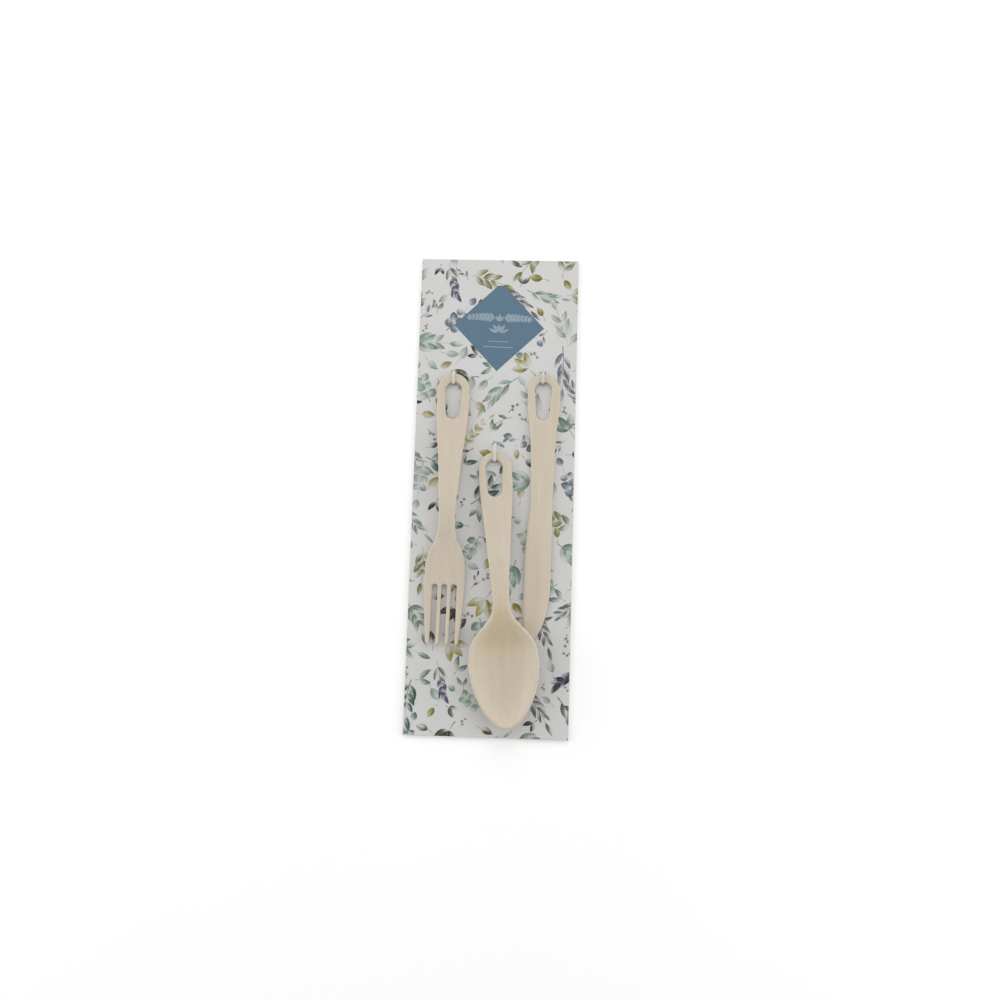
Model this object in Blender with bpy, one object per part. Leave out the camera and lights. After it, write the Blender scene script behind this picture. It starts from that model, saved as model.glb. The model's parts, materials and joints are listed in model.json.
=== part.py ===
"""Wooden cutlery pack: a fork, a spoon and a knife tied to a tall printed card.

The pack lies on its back. The card is in the XY plane with its label end at +Y,
the cutlery faces +Z, and the origin is under the middle of the card, on the
surface that the ties' backs rest on. Sizes are in millimetres and become metres
where a mesh is made.
"""
import math

import bmesh
import bpy
import numpy as np
from mathutils import Vector
from mathutils.geometry import delaunay_2d_cdt

MM = 0.001                   # one millimetre, in metres
GAP = 0.3                    # air between pieces that touch

# Card
CARD_WIDTH = 100.0
CARD_HEIGHT = 300.0
CARD_THICK = 1.0
SLIT_WIDTH = 3.4             # slits that the ties pass through
SLIT_HEIGHT = 1.3

# Ties: flat loops round the card and the end of each handle
TIE_WIDTH = 2.0
TIE_THICK = 0.5
TIE_BEND = 0.7               # radius of a tie's corners, at the middle of its thickness
TIE_BEND_POINTS = 4

# Levels, from the surface that the pack lies on
CARD_BACK = TIE_THICK + GAP
CARD_FRONT = CARD_BACK + CARD_THICK

# Cutlery, all pressed from thin sheets of wood
WOOD_THICK = 2.0
WOOD_EDGE = 0.6              # radius of the rounded edges
EDGE_STEPS = 2               # facets on each rounded edge
END_STEPS = 7                # facets on a quarter of a rounded handle end
SLOT_END_POINTS = 9          # points round each end of a handle's slot
TINE_END_POINTS = 9
GAP_END_POINTS = 7
GAP_SIDE_STEPS = 5           # facets along each side of a gap between tines
BOWL_TIP_POINTS = 14         # points from the bowl's widest place to its tip
KNIFE_POINT_POINTS = 7
SIDE_SPACING = 5.0           # spacing of points along the sides of a fork or a knife
SPOON_SIDE_POINTS = 32
FACE_SPACING = 3.5           # spacing of points on the faces, so that they can bend
SLOPE_STEP = 0.05            # distance over which the slope of a pressed sheet is taken
SHARP_ANGLE = 40.0           # degrees between faces that meet in a hard edge
MERGE_DISTANCE = 1e-6

# Stations run from the end of the handle. A width station is (distance, half width),
# and a rise station is (distance, height above the lowest part of the piece).
FORK_LENGTH = 170.0
FORK_END = 10.0              # radius of the handle's end
FORK_SHOULDER = 167.6        # where the tines' rounded ends start
FORK_WIDTHS = ((10, 10.0), (22, 10.1), (35, 9.3), (55, 7.3), (75, 5.9), (94, 4.95), (104, 6.1),
               (113, 10.3), (120, 12.2), (128, 12.6), (145, 12.0), (167.6, 10.2))
FORK_RISES = ((0, 0.0), (20, 0.5), (55, 3.5), (84, 6.0), (95, 5.3), (108, 2.8), (120, 1.0),
              (132, 0.2), (145, 0.1), (157, 0.8), (170, 2.0))
FORK_GAPS = (-5.9, 0.0, 5.9)  # middles of the gaps between the tines
FORK_GAP_WIDTH = 3.5         # at the root
FORK_GAP_MOUTH = 3.7         # between the tips
FORK_GAP_ROOT = 133.0        # where the gaps end

SPOON_LENGTH = 169.5
SPOON_END = 10.2
SPOON_WIDEST = 131.0         # widest place of the bowl
SPOON_BOWL_HALF = 21.0
SPOON_TIP_POWER = 1.78       # roundness of the bowl's tip
SPOON_WIDTHS = ((10.2, 10.2), (18, 10.4), (26, 10.1), (46, 8.35), (66, 6.8), (85, 5.25), (94, 5.1),
                (101, 6.3), (106, 9.2), (111, 13.6), (116, 17.4), (121, 19.7), (131, 21.0))
SPOON_RISES = ((0, 0.0), (20, 0.7), (50, 3.8), (80, 7.2), (92, 8.0), (105, 8.1), (131, 7.8),
               (169.5, 7.8))
BOWL_START = 95.0            # where the neck starts to dip into the bowl
BOWL_FLOOR_START = 123.0
BOWL_FLOOR_END = 137.0
BOWL_DEPTH = 6.4
BOWL_SIDE_POWER = 2.4        # the bowl's section across: higher is flatter in the middle
BOWL_TIP_POWER = 2.4

KNIFE_LENGTH = 170.5
KNIFE_END = 10.1
KNIFE_SPINES = ((10.1, 10.1), (20, 10.1), (35, 8.4), (50, 7.2), (68, 6.8), (84, 6.6), (96, 8.0),
                (106, 8.8), (118, 9.4), (135, 9.5), (150, 9.4), (162, 8.6), (169.3, 7.9))
KNIFE_EDGES = ((10.1, 10.1), (20, 10.1), (35, 8.5), (50, 7.6), (68, 7.3), (84, 7.0), (118, 7.0),
               (135, 6.8), (145, 5.6), (153, 3.8), (159, 1.5), (164, -1.3), (169.3, -5.9))
KNIFE_RISES = ((0, 0.0), (170.5, 0.0))
KNIFE_BEVEL = 4.0            # width of the strip that thins towards the cutting edge
KNIFE_BEVEL_START = 90.0     # where along the knife the strip begins
KNIFE_BEVEL_FULL = 110.0
KNIFE_EDGE_SHARE = 0.55      # thickness left at the cutting edge

# Slots near the ends of the handles: (near end, far end, near width, far width, how far the
# slot's middle is from the handle's, to the right)
FORK_SLOT = (5.8, 29.4, 10.8, 8.8, 0.1)
SPOON_SLOT = (4.9, 28.3, 10.9, 9.1, -0.8)
KNIFE_SLOT = (4.6, 29.2, 10.8, 8.2, -0.4)

# Where the end of each handle lies on the card, and how far the piece leans
FORK_PLACE = (-26.75, 74.5, -0.5)    # x, y, degrees
SPOON_PLACE = (0.2, 24.7, 4.4)
KNIFE_PLACE = (30.1, 74.6, 0.0)

# Ties: (x, how far past the end of the handle the tie enters the card)
FORK_TIE = (-27.1, 1.8)
SPOON_TIE = (0.4, 5.6)
KNIFE_TIE = (29.2, 1.8)

WOOD_COLOUR = (0.585, 0.510, 0.400)
CARD_COLOUR = (0.630, 0.625, 0.615)
TIE_COLOUR = (0.700, 0.670, 0.600)


def make_material(name, colour, roughness):
    """A plain Principled material, not metallic."""
    material = bpy.data.materials.new(name)
    material.use_nodes = True
    shader = material.node_tree.nodes["Principled BSDF"]
    shader.inputs["Base Color"].default_value = (*colour, 1.0)
    shader.inputs["Roughness"].default_value = roughness
    shader.inputs["Metallic"].default_value = 0.0
    return material


def smooth_step(low, high, value):
    """0 below low, 1 above high, and a smooth rise between them."""
    t = min(max((value - low) / (high - low), 0.0), 1.0)
    return t * t * (3.0 - 2.0 * t)


def station_curve(stations):
    """A function that runs smoothly through stations, without overshooting them."""
    xs, ys = (np.array(column, float) for column in zip(*stations))
    steps = np.diff(xs)
    slopes = np.diff(ys) / steps
    tangents = np.zeros(len(xs))
    tangents[0] = slopes[0]
    tangents[-1] = slopes[-1]
    for i in range(1, len(xs) - 1):
        if slopes[i - 1] * slopes[i] > 0.0:
            before = 2.0 * steps[i] + steps[i - 1]
            after = steps[i] + 2.0 * steps[i - 1]
            tangents[i] = (before + after) / (before / slopes[i - 1] + after / slopes[i])

    def value(x):
        x = min(max(x, xs[0]), xs[-1])
        i = min(int(np.searchsorted(xs, x, side="right")) - 1, len(steps) - 1)
        t = (x - xs[i]) / steps[i]
        rise = ys[i + 1] - ys[i]
        pull = t * (1.0 - t)
        blend = t * t * (3.0 - 2.0 * t)
        return (ys[i] + rise * blend
                + pull * (1.0 - t) * steps[i] * tangents[i]
                - pull * t * steps[i] * tangents[i + 1])

    return value


def arc(centre, radius_x, radius_y, start, end, count):
    """Points on an ellipse between two angles in degrees, both ends included."""
    angles = np.radians(np.linspace(start, end, count))
    return [(centre[0] + radius_x * math.cos(a), centre[1] + radius_y * math.sin(a)) for a in angles]


def side_points(width, start, end, side):
    """Points down one side of a piece: side is -1 for the left and 1 for the right."""
    count = round((end - start) / SIDE_SPACING) + 1
    return [(side * width(s), -s) for s in np.linspace(start, end, count)]


def handle_end(radius, side):
    """The quarter circle from the end of a handle to one of its sides."""
    end_angle = 180.0 if side < 0 else 0.0
    return arc((0.0, -radius), radius, radius, 90.0, end_angle, END_STEPS + 1)[:-1]


def slot_loop(slot):
    """A slot with round ends, as a loop."""
    near, far, near_width, far_width, x = slot
    near_half, far_half = near_width / 2, far_width / 2
    top = arc((x, -near - near_half), near_half, near_half, 0.0, 180.0, SLOT_END_POINTS)
    bottom = arc((x, -far + far_half), far_half, far_half, 180.0, 360.0, SLOT_END_POINTS)
    return top + bottom


def fork_outline():
    """Down the left side, round the tines and their gaps, and up the right side."""
    width = station_curve(FORK_WIDTHS)
    left = handle_end(FORK_END, -1) + side_points(width, FORK_END, FORK_SHOULDER, -1)
    right = handle_end(FORK_END, 1) + side_points(width, FORK_END, FORK_SHOULDER, 1)
    half_gap = FORK_GAP_WIDTH / 2
    half_mouth = FORK_GAP_MOUTH / 2
    bounds = [-width(FORK_SHOULDER)]
    for middle in FORK_GAPS:
        bounds += [middle - half_mouth, middle + half_mouth]
    bounds.append(width(FORK_SHOULDER))
    points = left[:-1]
    root = FORK_GAP_ROOT + half_gap
    shares = np.linspace(0.0, 1.0, GAP_SIDE_STEPS + 1)[1:-1]
    for tine in range(len(FORK_GAPS) + 1):
        low, high = bounds[2 * tine], bounds[2 * tine + 1]
        points += arc(((low + high) / 2, -FORK_SHOULDER), (high - low) / 2,
                      FORK_LENGTH - FORK_SHOULDER, 180.0, 360.0, TINE_END_POINTS)
        if tine < len(FORK_GAPS):
            middle = FORK_GAPS[tine]
            sides = [(half_gap + (half_mouth - half_gap) * t, -root - (FORK_SHOULDER - root) * t)
                     for t in shares]
            points += [(middle - half, y) for half, y in reversed(sides)]
            points += arc((middle, -root), half_gap, half_gap, 180.0, 0.0, GAP_END_POINTS)
            points += [(middle + half, y) for half, y in sides]
    return points + right[-2:0:-1]


def spoon_half_width(s):
    """Half the spoon's width at the distance s from the handle's end."""
    if s < SPOON_WIDEST:
        return station_curve(SPOON_WIDTHS)(s)
    share = min((s - SPOON_WIDEST) / (SPOON_LENGTH - SPOON_WIDEST), 1.0)
    return SPOON_BOWL_HALF * (1.0 - share ** SPOON_TIP_POWER) ** (1.0 / SPOON_TIP_POWER)


def spoon_outline():
    """The left side from the handle's end to the bowl's tip, and back up the right side."""
    turns = np.radians(np.linspace(0.0, 90.0, BOWL_TIP_POINTS))
    reach = SPOON_LENGTH - SPOON_WIDEST
    tip = [SPOON_WIDEST + reach * math.sin(a) for a in turns]
    stations = list(np.linspace(SPOON_END, SPOON_WIDEST, SPOON_SIDE_POINTS)[:-1]) + tip
    left = handle_end(SPOON_END, -1) + [(-spoon_half_width(s), -s) for s in stations]
    right = handle_end(SPOON_END, 1) + [(spoon_half_width(s), -s) for s in stations]
    return left + right[-2:0:-1]


def knife_outline():
    """Down the spine, round the point, and back up the cutting edge."""
    spine = station_curve(KNIFE_SPINES)
    edge = station_curve(KNIFE_EDGES)
    point_start = KNIFE_SPINES[-1][0]
    left = handle_end(KNIFE_END, -1) + side_points(spine, KNIFE_END, point_start, -1)
    right = handle_end(KNIFE_END, 1) + side_points(edge, KNIFE_END, point_start, 1)
    low, high = -spine(point_start), edge(point_start)
    point = arc(((low + high) / 2, -point_start), (high - low) / 2, KNIFE_LENGTH - point_start,
                180.0, 360.0, KNIFE_POINT_POINTS)
    return left + point[1:-1] + right[:0:-1]


def spoon_height(x, s):
    """Height of the spoon's middle layer: the arched handle, and the bowl dished below its rim."""
    rise = station_curve(SPOON_RISES)(s)
    fall = smooth_step(BOWL_START, BOWL_FLOOR_START, s)
    if s > BOWL_FLOOR_END:
        share = min((s - BOWL_FLOOR_END) / (SPOON_LENGTH - BOWL_FLOOR_END), 1.0)
        fall *= 1.0 - share ** BOWL_TIP_POWER
    across = min(abs(x) / max(spoon_half_width(s), WOOD_EDGE), 1.0)
    return rise - BOWL_DEPTH * fall * (1.0 - across ** BOWL_SIDE_POWER)


def knife_share(x, s):
    """The share of its full thickness that the knife has: less towards the cutting edge."""
    inside = station_curve(KNIFE_EDGES)(s) - x
    strip = 1.0 - smooth_step(0.0, KNIFE_BEVEL, inside)
    along = smooth_step(KNIFE_BEVEL_START, KNIFE_BEVEL_FULL, s)
    return 1.0 - (1.0 - KNIFE_EDGE_SHARE) * strip * along


def signed_area(loop):
    """Area of a loop: above zero when it runs anticlockwise."""
    return sum(a[0] * b[1] - b[0] * a[1] for a, b in zip(loop, loop[1:] + loop[:1])) / 2


def shrink(loop, inset):
    """A loop moved to its left by inset, which is into the wood, with its corners mitred."""
    points = np.array(loop)
    before = points - np.roll(points, 1, axis=0)
    after = np.roll(points, -1, axis=0) - points
    before /= np.linalg.norm(before, axis=1)[:, None]
    after /= np.linalg.norm(after, axis=1)[:, None]
    tangent = before + after
    tangent /= np.linalg.norm(tangent, axis=1)[:, None]
    normal = np.column_stack([-tangent[:, 1], tangent[:, 0]])
    mitre = np.clip(np.abs((before * tangent).sum(axis=1)), 0.5, 1.0)
    return points + normal * (inset / mitre)[:, None]


def inside_mask(points, loops):
    """Which points lie within the outer loop and outside the holes, by counting crossings."""
    odd = np.zeros(len(points), bool)
    for loop in loops:
        for (x1, y1), (x2, y2) in zip(loop, np.roll(loop, -1, axis=0)):
            spans = (y1 > points[:, 1]) != (y2 > points[:, 1])
            if spans.any():
                cross = x1 + (points[:, 1] - y1) * (x2 - x1) / (y2 - y1)
                odd ^= spans & (points[:, 0] < cross)
    return odd


def face_grid(loops, spacing):
    """Points in rows on a face, kept half a spacing away from its edges."""
    border = np.vstack(loops)
    low, high = border.min(axis=0), border.max(axis=0)
    columns = np.arange(low[0] + spacing / 2, high[0], spacing)
    rows = np.arange(low[1] + spacing / 2, high[1], spacing)
    points = np.array([(x, y) for y in rows for x in columns])
    points = points[inside_mask(points, loops)]
    gaps = np.linalg.norm(points[:, None, :] - border[None, :, :], axis=2).min(axis=1)
    return points[gaps > spacing / 2]


def fill_face(loops, extra):
    """Triangles over a face with holes, through all the loops' points and the extra ones."""
    points = np.vstack(loops + [extra]) if len(extra) else np.vstack(loops)
    edges = []
    start = 0
    for loop in loops:
        ring = range(start, start + len(loop))
        edges += [(i, start + (i + 1 - start) % len(loop)) for i in ring]
        start += len(loop)
    result = delaunay_2d_cdt([Vector(p) for p in points], edges, [], 0, MERGE_DISTANCE)
    source = [ids[0] for ids in result[3]]
    triangles = [tuple(source[i] for i in face) for face in result[2]]
    middles = np.array([points[list(t)].mean(axis=0) for t in triangles])
    return [t for t, keep in zip(triangles, inside_mask(middles, loops)) if keep]


def make_plate(name, outline, holes, thick, rounding, grid, height, share, material):
    """A sheet cut to an outline with holes, its edges rounded, pressed to a curved height.

    height(x, s) is where the middle of the sheet lies, and share(x, s) thins it.
    """
    outline = outline if signed_area(outline) > 0 else outline[::-1]
    loops = [outline] + [h if signed_area(h) < 0 else h[::-1] for h in holes]
    levels = [(0.0, -1.0), (0.0, 1.0)]
    if rounding:
        turns = np.radians(np.linspace(0.0, 90.0, EDGE_STEPS + 1))
        lift = rounding / (thick / 2)
        top = [(rounding * (1 - math.cos(a)), 1 - lift + lift * math.sin(a)) for a in turns]
        levels = [(inset, -level) for inset, level in reversed(top)] + top
    mesh = bmesh.new()

    def add_point(x, y, level):
        half = level * thick / 2 * share(x, -y)
        slope_x = (height(x + SLOPE_STEP, -y) - height(x - SLOPE_STEP, -y)) / (2 * SLOPE_STEP)
        slope_y = (height(x, -y + SLOPE_STEP) - height(x, -y - SLOPE_STEP)) / (2 * SLOPE_STEP)
        normal = Vector((-slope_x, slope_y, 1.0)).normalized()
        place = Vector((x, y, height(x, -y))) + normal * half
        return mesh.verts.new(place * MM)

    rings = []
    for inset, level in levels:
        ring = []
        for loop in loops:
            ring += [add_point(x, y, level) for x, y in shrink(loop, inset)]
        rings.append(ring)
    for low, high in zip(rings, rings[1:]):
        start = 0
        for loop in loops:
            for i in range(len(loop)):
                a, b = start + i, start + (i + 1) % len(loop)
                mesh.faces.new((low[a], low[b], high[b], high[a]))
            start += len(loop)
    inner = [shrink(loop, levels[-1][0]) for loop in loops]
    extra = face_grid(inner, grid) if grid else np.empty((0, 2))
    triangles = fill_face(inner, extra)
    top = rings[-1] + [add_point(x, y, 1.0) for x, y in extra]
    bottom = rings[0] + [add_point(x, y, -1.0) for x, y in extra]
    for a, b, c in triangles:
        mesh.faces.new((top[a], top[b], top[c]))
        mesh.faces.new((bottom[c], bottom[b], bottom[a]))
    return add_object(name, mesh, material)


def add_object(name, mesh, material):
    """Turn a bmesh into an object with its material."""
    bmesh.ops.recalc_face_normals(mesh, faces=mesh.faces)
    data = bpy.data.meshes.new(name)
    mesh.to_mesh(data)
    mesh.free()
    data.shade_smooth()
    data.set_sharp_from_angle(angle=math.radians(SHARP_ANGLE))
    data.materials.append(material)
    piece = bpy.data.objects.new(name, data)
    bpy.context.scene.collection.objects.link(piece)
    return piece


def place_on_card(piece, place):
    """Lay a piece on the card with the end of its handle at x, y, leaning by some degrees."""
    x, y, lean = place
    piece.location = Vector((x, y, 0.0)) * MM
    piece.rotation_euler = (0.0, 0.0, math.radians(lean))


def full_thickness(x, s):
    """A sheet that keeps its thickness."""
    return 1.0


def resting_height(rises):
    """Height of a piece's middle layer that follows its rise stations above the card."""
    rise = station_curve(rises)
    return lambda x, s: CARD_FRONT + GAP + WOOD_THICK / 2 + rise(s)


def flat_height(level):
    """A sheet that lies flat with its middle at a level."""
    return lambda x, s: level


def make_fork(wood):
    """The fork: an arched handle with a slot, and four tines."""
    fork = make_plate("fork", fork_outline(), [slot_loop(FORK_SLOT)], WOOD_THICK, WOOD_EDGE,
                      FACE_SPACING, resting_height(FORK_RISES), full_thickness, wood)
    place_on_card(fork, FORK_PLACE)


def make_spoon(wood):
    """The spoon: an arched handle with a slot, and an oval bowl."""
    base = CARD_FRONT + GAP + WOOD_THICK / 2
    spoon = make_plate("spoon", spoon_outline(), [slot_loop(SPOON_SLOT)], WOOD_THICK, WOOD_EDGE,
                       FACE_SPACING, lambda x, s: base + spoon_height(x, s), full_thickness, wood)
    place_on_card(spoon, SPOON_PLACE)


def make_knife(wood):
    """The knife: a flat piece whose blade thins towards its cutting edge."""
    knife = make_plate("knife", knife_outline(), [slot_loop(KNIFE_SLOT)], WOOD_THICK, WOOD_EDGE,
                       FACE_SPACING, resting_height(KNIFE_RISES), knife_share, wood)
    place_on_card(knife, KNIFE_PLACE)


def tie_points(tie, place, slot):
    """A tie's x, and where it enters the card: in the handle's slot, and past the handle's end."""
    x, reach = tie
    handle_x, handle_y, lean = place
    near, far, near_width, far_width, slot_x = slot
    half = near_width / 2
    off_middle = abs(x - handle_x - slot_x - math.tan(math.radians(lean)) * near) + TIE_WIDTH / 2
    round_end = half - math.sqrt(half ** 2 - off_middle ** 2)
    inner = handle_y - near - round_end - GAP - TIE_THICK / 2
    return x, inner, handle_y + reach


def make_card(card_board, ties):
    """The card, with a slit for each end of each tie."""
    half_width, half_height = CARD_WIDTH / 2, CARD_HEIGHT / 2
    outline = [(-half_width, -half_height), (half_width, -half_height),
               (half_width, half_height), (-half_width, half_height)]
    slits = []
    for x, inner, outer in ties:
        for y in (inner, outer):
            dx, dy = SLIT_WIDTH / 2, SLIT_HEIGHT / 2
            slits.append([(x - dx, y - dy), (x - dx, y + dy), (x + dx, y + dy), (x + dx, y - dy)])
    make_plate("backing_card", outline, slits, CARD_THICK, 0.0, 0.0,
               flat_height(CARD_BACK + CARD_THICK / 2), full_thickness, card_board)


def round_corners(corners, radius, steps):
    """A closed path through corners, each replaced by an arc of about the given radius."""
    path = []
    count = len(corners)
    for i in range(count):
        corner = Vector(corners[i])
        back = (Vector(corners[i - 1]) - corner).normalized()
        ahead = (Vector(corners[(i + 1) % count]) - corner).normalized()
        half = back.angle(ahead) / 2
        centre = corner + (back + ahead).normalized() * radius / math.sin(half)
        first = (corner + back * radius / math.tan(half) - centre).normalized()
        last = (corner + ahead * radius / math.tan(half) - centre).normalized()
        for t in np.linspace(0.0, 1.0, steps):
            path.append(centre + first.slerp(last, t) * radius)
    return path


def make_tie(name, tie, handle_end_y, handle_top, material):
    """A flat loop: through the slot, over the handle's end, into the card, and along its back."""
    x, inner, outer = tie
    low = TIE_THICK / 2
    over = handle_top + GAP + TIE_THICK / 2
    entry = CARD_FRONT + TIE_BEND + TIE_THICK
    corners = [(inner, low), (inner, over), (handle_end_y + TIE_THICK, over), (outer, entry), (outer, low)]
    path = round_corners(corners, TIE_BEND, TIE_BEND_POINTS)
    mesh = bmesh.new()
    rings = []
    for i, point in enumerate(path):
        tangent = (path[(i + 1) % len(path)] - path[i - 1]).normalized()
        out = Vector((-tangent.y, tangent.x)) * TIE_THICK / 2
        ring = []
        for side, offset in ((-1, out), (1, out), (1, -out), (-1, -out)):
            y, z = point + offset
            ring.append(mesh.verts.new(Vector((x + side * TIE_WIDTH / 2, y, z)) * MM))
        rings.append(ring)
    for ring, following in zip(rings, rings[1:] + rings[:1]):
        for i in range(len(ring)):
            j = (i + 1) % len(ring)
            mesh.faces.new((ring[i], ring[j], following[j], following[i]))
    add_object(name, mesh, material)


def build():
    """Clear the scene and make the whole pack."""
    for old in list(bpy.data.objects):
        bpy.data.objects.remove(old, do_unlink=True)
    make_fork(make_material("fork_wood", WOOD_COLOUR, 0.6))
    make_spoon(make_material("spoon_wood", WOOD_COLOUR, 0.6))
    make_knife(make_material("knife_wood", WOOD_COLOUR, 0.6))
    handle_top = CARD_FRONT + GAP + WOOD_THICK
    tied = (("fork_tie", FORK_TIE, FORK_PLACE, FORK_SLOT, FORK_RISES),
            ("spoon_tie", SPOON_TIE, SPOON_PLACE, SPOON_SLOT, SPOON_RISES),
            ("knife_tie", KNIFE_TIE, KNIFE_PLACE, KNIFE_SLOT, KNIFE_RISES))
    ties = []
    for name, tie, place, slot, rises in tied:
        points = tie_points(tie, place, slot)
        top = handle_top + station_curve(rises)(slot[0])
        make_tie(name, points, place[1], top, make_material(name + "_strip", TIE_COLOUR, 0.5))
        ties.append(points)
    make_card(make_material("printed_card", CARD_COLOUR, 0.5), ties)


build()
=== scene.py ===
"""Finish of a wooden cutlery pack: card, leaf print, label, fork, spoon, knife and ties.

The pack lies on its back, its label end at +Y and its cutlery towards +Z. Shapes are
worked out in millimetres and become metres where a mesh is made.
"""
import json
import math
import random

import bmesh
import bpy
import numpy as np
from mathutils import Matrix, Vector
from mathutils.geometry import delaunay_2d_cdt

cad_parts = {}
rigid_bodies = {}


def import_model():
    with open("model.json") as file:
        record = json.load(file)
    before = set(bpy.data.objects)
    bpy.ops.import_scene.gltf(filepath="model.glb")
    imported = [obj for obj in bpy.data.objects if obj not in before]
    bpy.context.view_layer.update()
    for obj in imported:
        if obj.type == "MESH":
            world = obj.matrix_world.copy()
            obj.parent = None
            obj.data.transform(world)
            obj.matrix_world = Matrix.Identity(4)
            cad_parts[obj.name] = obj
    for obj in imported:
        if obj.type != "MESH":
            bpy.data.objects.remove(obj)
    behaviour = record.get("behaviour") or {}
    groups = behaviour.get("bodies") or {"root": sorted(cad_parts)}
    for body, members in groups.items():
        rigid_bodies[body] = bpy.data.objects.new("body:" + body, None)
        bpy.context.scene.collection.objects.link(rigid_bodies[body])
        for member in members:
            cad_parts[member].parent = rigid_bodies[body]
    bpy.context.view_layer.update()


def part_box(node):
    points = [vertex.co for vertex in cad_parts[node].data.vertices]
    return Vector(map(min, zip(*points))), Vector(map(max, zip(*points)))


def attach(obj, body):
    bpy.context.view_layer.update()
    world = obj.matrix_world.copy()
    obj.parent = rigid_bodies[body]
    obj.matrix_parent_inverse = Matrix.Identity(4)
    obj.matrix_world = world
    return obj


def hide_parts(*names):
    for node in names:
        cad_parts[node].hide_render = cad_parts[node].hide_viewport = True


MM = 0.001                   # one millimetre, in metres

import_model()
ROOT = "root"

# Card, from the frame
CARD_LOW, CARD_HIGH = (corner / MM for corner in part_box("backing_card"))
CARD_EDGE = 0.12             # radius of the card's cut edges
SLIT_WIDTH = 3.4
SLIT_HEIGHT = 1.3

# Cutlery
WOOD_THICK = 2.0
WOOD_EDGE = 1.3              # width of the rounded edge, seen from above
WOOD_EDGE_DROP = 0.85        # how far the rounded edge drops on the upper face
WOOD_EDGE_UNDER = 0.6        # radius of the edge underneath
EDGE_STEPS = 6
POINT_SPACING = 0.9          # along outlines
FACE_SPACING = 1.3           # over faces
REPEAT_GAP = 0.02            # points of an outline nearer than this are one
TINE_END_POINTS = 13
GAP_END_POINTS = 11
KNIFE_POINT_POINTS = 11
BOWL_TIP_POINTS = 60
SLOPE_STEP = 0.05            # over which a pressed face's slope is measured
LEAST_HALF = 0.6             # half width below which the spoon's tip counts as this wide

# Stations run from the end of the handle: (distance, half width) or (distance, height).
FORK_LENGTH = 170.0
FORK_END = 10.0
FORK_SHOULDER = 167.6
FORK_WIDTHS = ((10, 10.0), (22, 10.1), (35, 9.3), (55, 7.3), (75, 5.9), (94, 4.95), (104, 6.1),
               (113, 10.3), (120, 12.2), (128, 12.6), (145, 12.0), (167.6, 10.2))
FORK_RISES = ((0, 0.0), (20, 0.5), (55, 3.5), (84, 6.0), (95, 5.3), (108, 2.8), (120, 1.0),
              (132, 0.2), (145, 0.1), (157, 0.8), (170, 2.0))
FORK_EDGES = ((0, 1.3), (116, 1.3), (128, 0.8), (160, 0.7), (170, 0.5))
FORK_GAPS = (-5.9, 0.0, 5.9)
FORK_GAP_WIDTH = 3.5
FORK_GAP_MOUTH = 3.7
FORK_GAP_ROOT = 133.0
FORK_LEAN = -0.5             # degrees

SPOON_LENGTH = 169.5
SPOON_END = 10.2
SPOON_WIDEST = 131.0
SPOON_BOWL_HALF = 21.0
SPOON_TIP_POWER = 1.78
SPOON_WIDTHS = ((10.2, 10.2), (18, 10.4), (26, 10.1), (46, 8.35), (66, 6.8), (85, 5.25), (94, 5.1),
                (101, 6.3), (106, 9.2), (111, 13.6), (116, 17.4), (121, 19.7), (131, 21.0))
SPOON_RISES = ((0, 0.0), (20, 0.7), (50, 3.8), (80, 7.2), (92, 8.0), (105, 8.1), (131, 7.8),
               (169.5, 7.8))
SPOON_EDGES = ((0, 1.2), (85, 1.1), (170, 1.1))
BOWL_START = 95.0
BOWL_FLOOR_START = 123.0
BOWL_FLOOR_END = 137.0
BOWL_DEPTH = 6.4
BOWL_SIDE_POWER = 2.4
BOWL_TIP_POWER = 2.4
SLOPE_SHADE_ALONG = (76.0, 104.0, 110.0, 138.0)    # where the painted shade on the bowl's steep slope starts, is full, and fades
SLOPE_SHADE_ACROSS = (0.55, 0.95)                  # shares of the half width over which it fades
SPOON_LEAN = 4.4

KNIFE_LENGTH = 170.5
KNIFE_END = 10.1
KNIFE_SPINES = ((10.1, 10.1), (20, 10.1), (35, 8.4), (50, 7.2), (68, 6.8), (84, 6.6), (96, 8.0),
                (106, 8.8), (118, 9.4), (135, 9.5), (150, 9.4), (162, 8.6), (169.3, 7.9))
KNIFE_EDGES = ((10.1, 10.1), (20, 10.1), (35, 8.5), (50, 7.6), (68, 7.3), (84, 7.0), (118, 7.0),
               (135, 6.8), (145, 5.6), (153, 3.8), (159, 1.5), (164, -1.3), (169.3, -5.9))
KNIFE_ROUNDS = ((0, 1.3), (150, 1.3), (165, 0.9), (170.5, 0.6))
KNIFE_BEVEL = 4.0
KNIFE_BEVEL_START = 90.0
KNIFE_BEVEL_FULL = 110.0
KNIFE_EDGE_SHARE = 0.55
KNIFE_LEAN = 0.0

# Slots: (near end, far end, near width, far width, how far to the right of the handle's middle)
FORK_SLOT = (5.8, 29.4, 10.8, 8.8, 0.1)
SPOON_SLOT = (4.9, 28.3, 10.9, 9.1, -0.8)
KNIFE_SLOT = (4.6, 29.2, 10.8, 8.2, -0.4)

# Ties
TIE_WIDTH = 2.0
TIE_THICK = 0.5
TIE_BEND = 0.7
TIE_CORNER = 0.15            # radius along the strip's own edges
TIE_BEND_POINTS = 8

# Label and print: a level is a height above the card's face
PRINT_LEVEL = 0.010
LEAF_STEP = 0.0015           # each leaf of a sprig lies this much above the last
LABEL_LEVEL = 0.060
ORNAMENT_LEVEL = 0.075
LABEL_CENTRE = (0.5, 106.0)
LABEL_HALF_WIDTH = 28.6
LABEL_HALF_HEIGHT = 29.0
LABEL_TOP_CUT = 1.9          # half the width of the label's cut-off top corner
LABEL_TURN = -1.5            # degrees
LABEL_SPACING = 4.0          # between the points of its face

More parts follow.
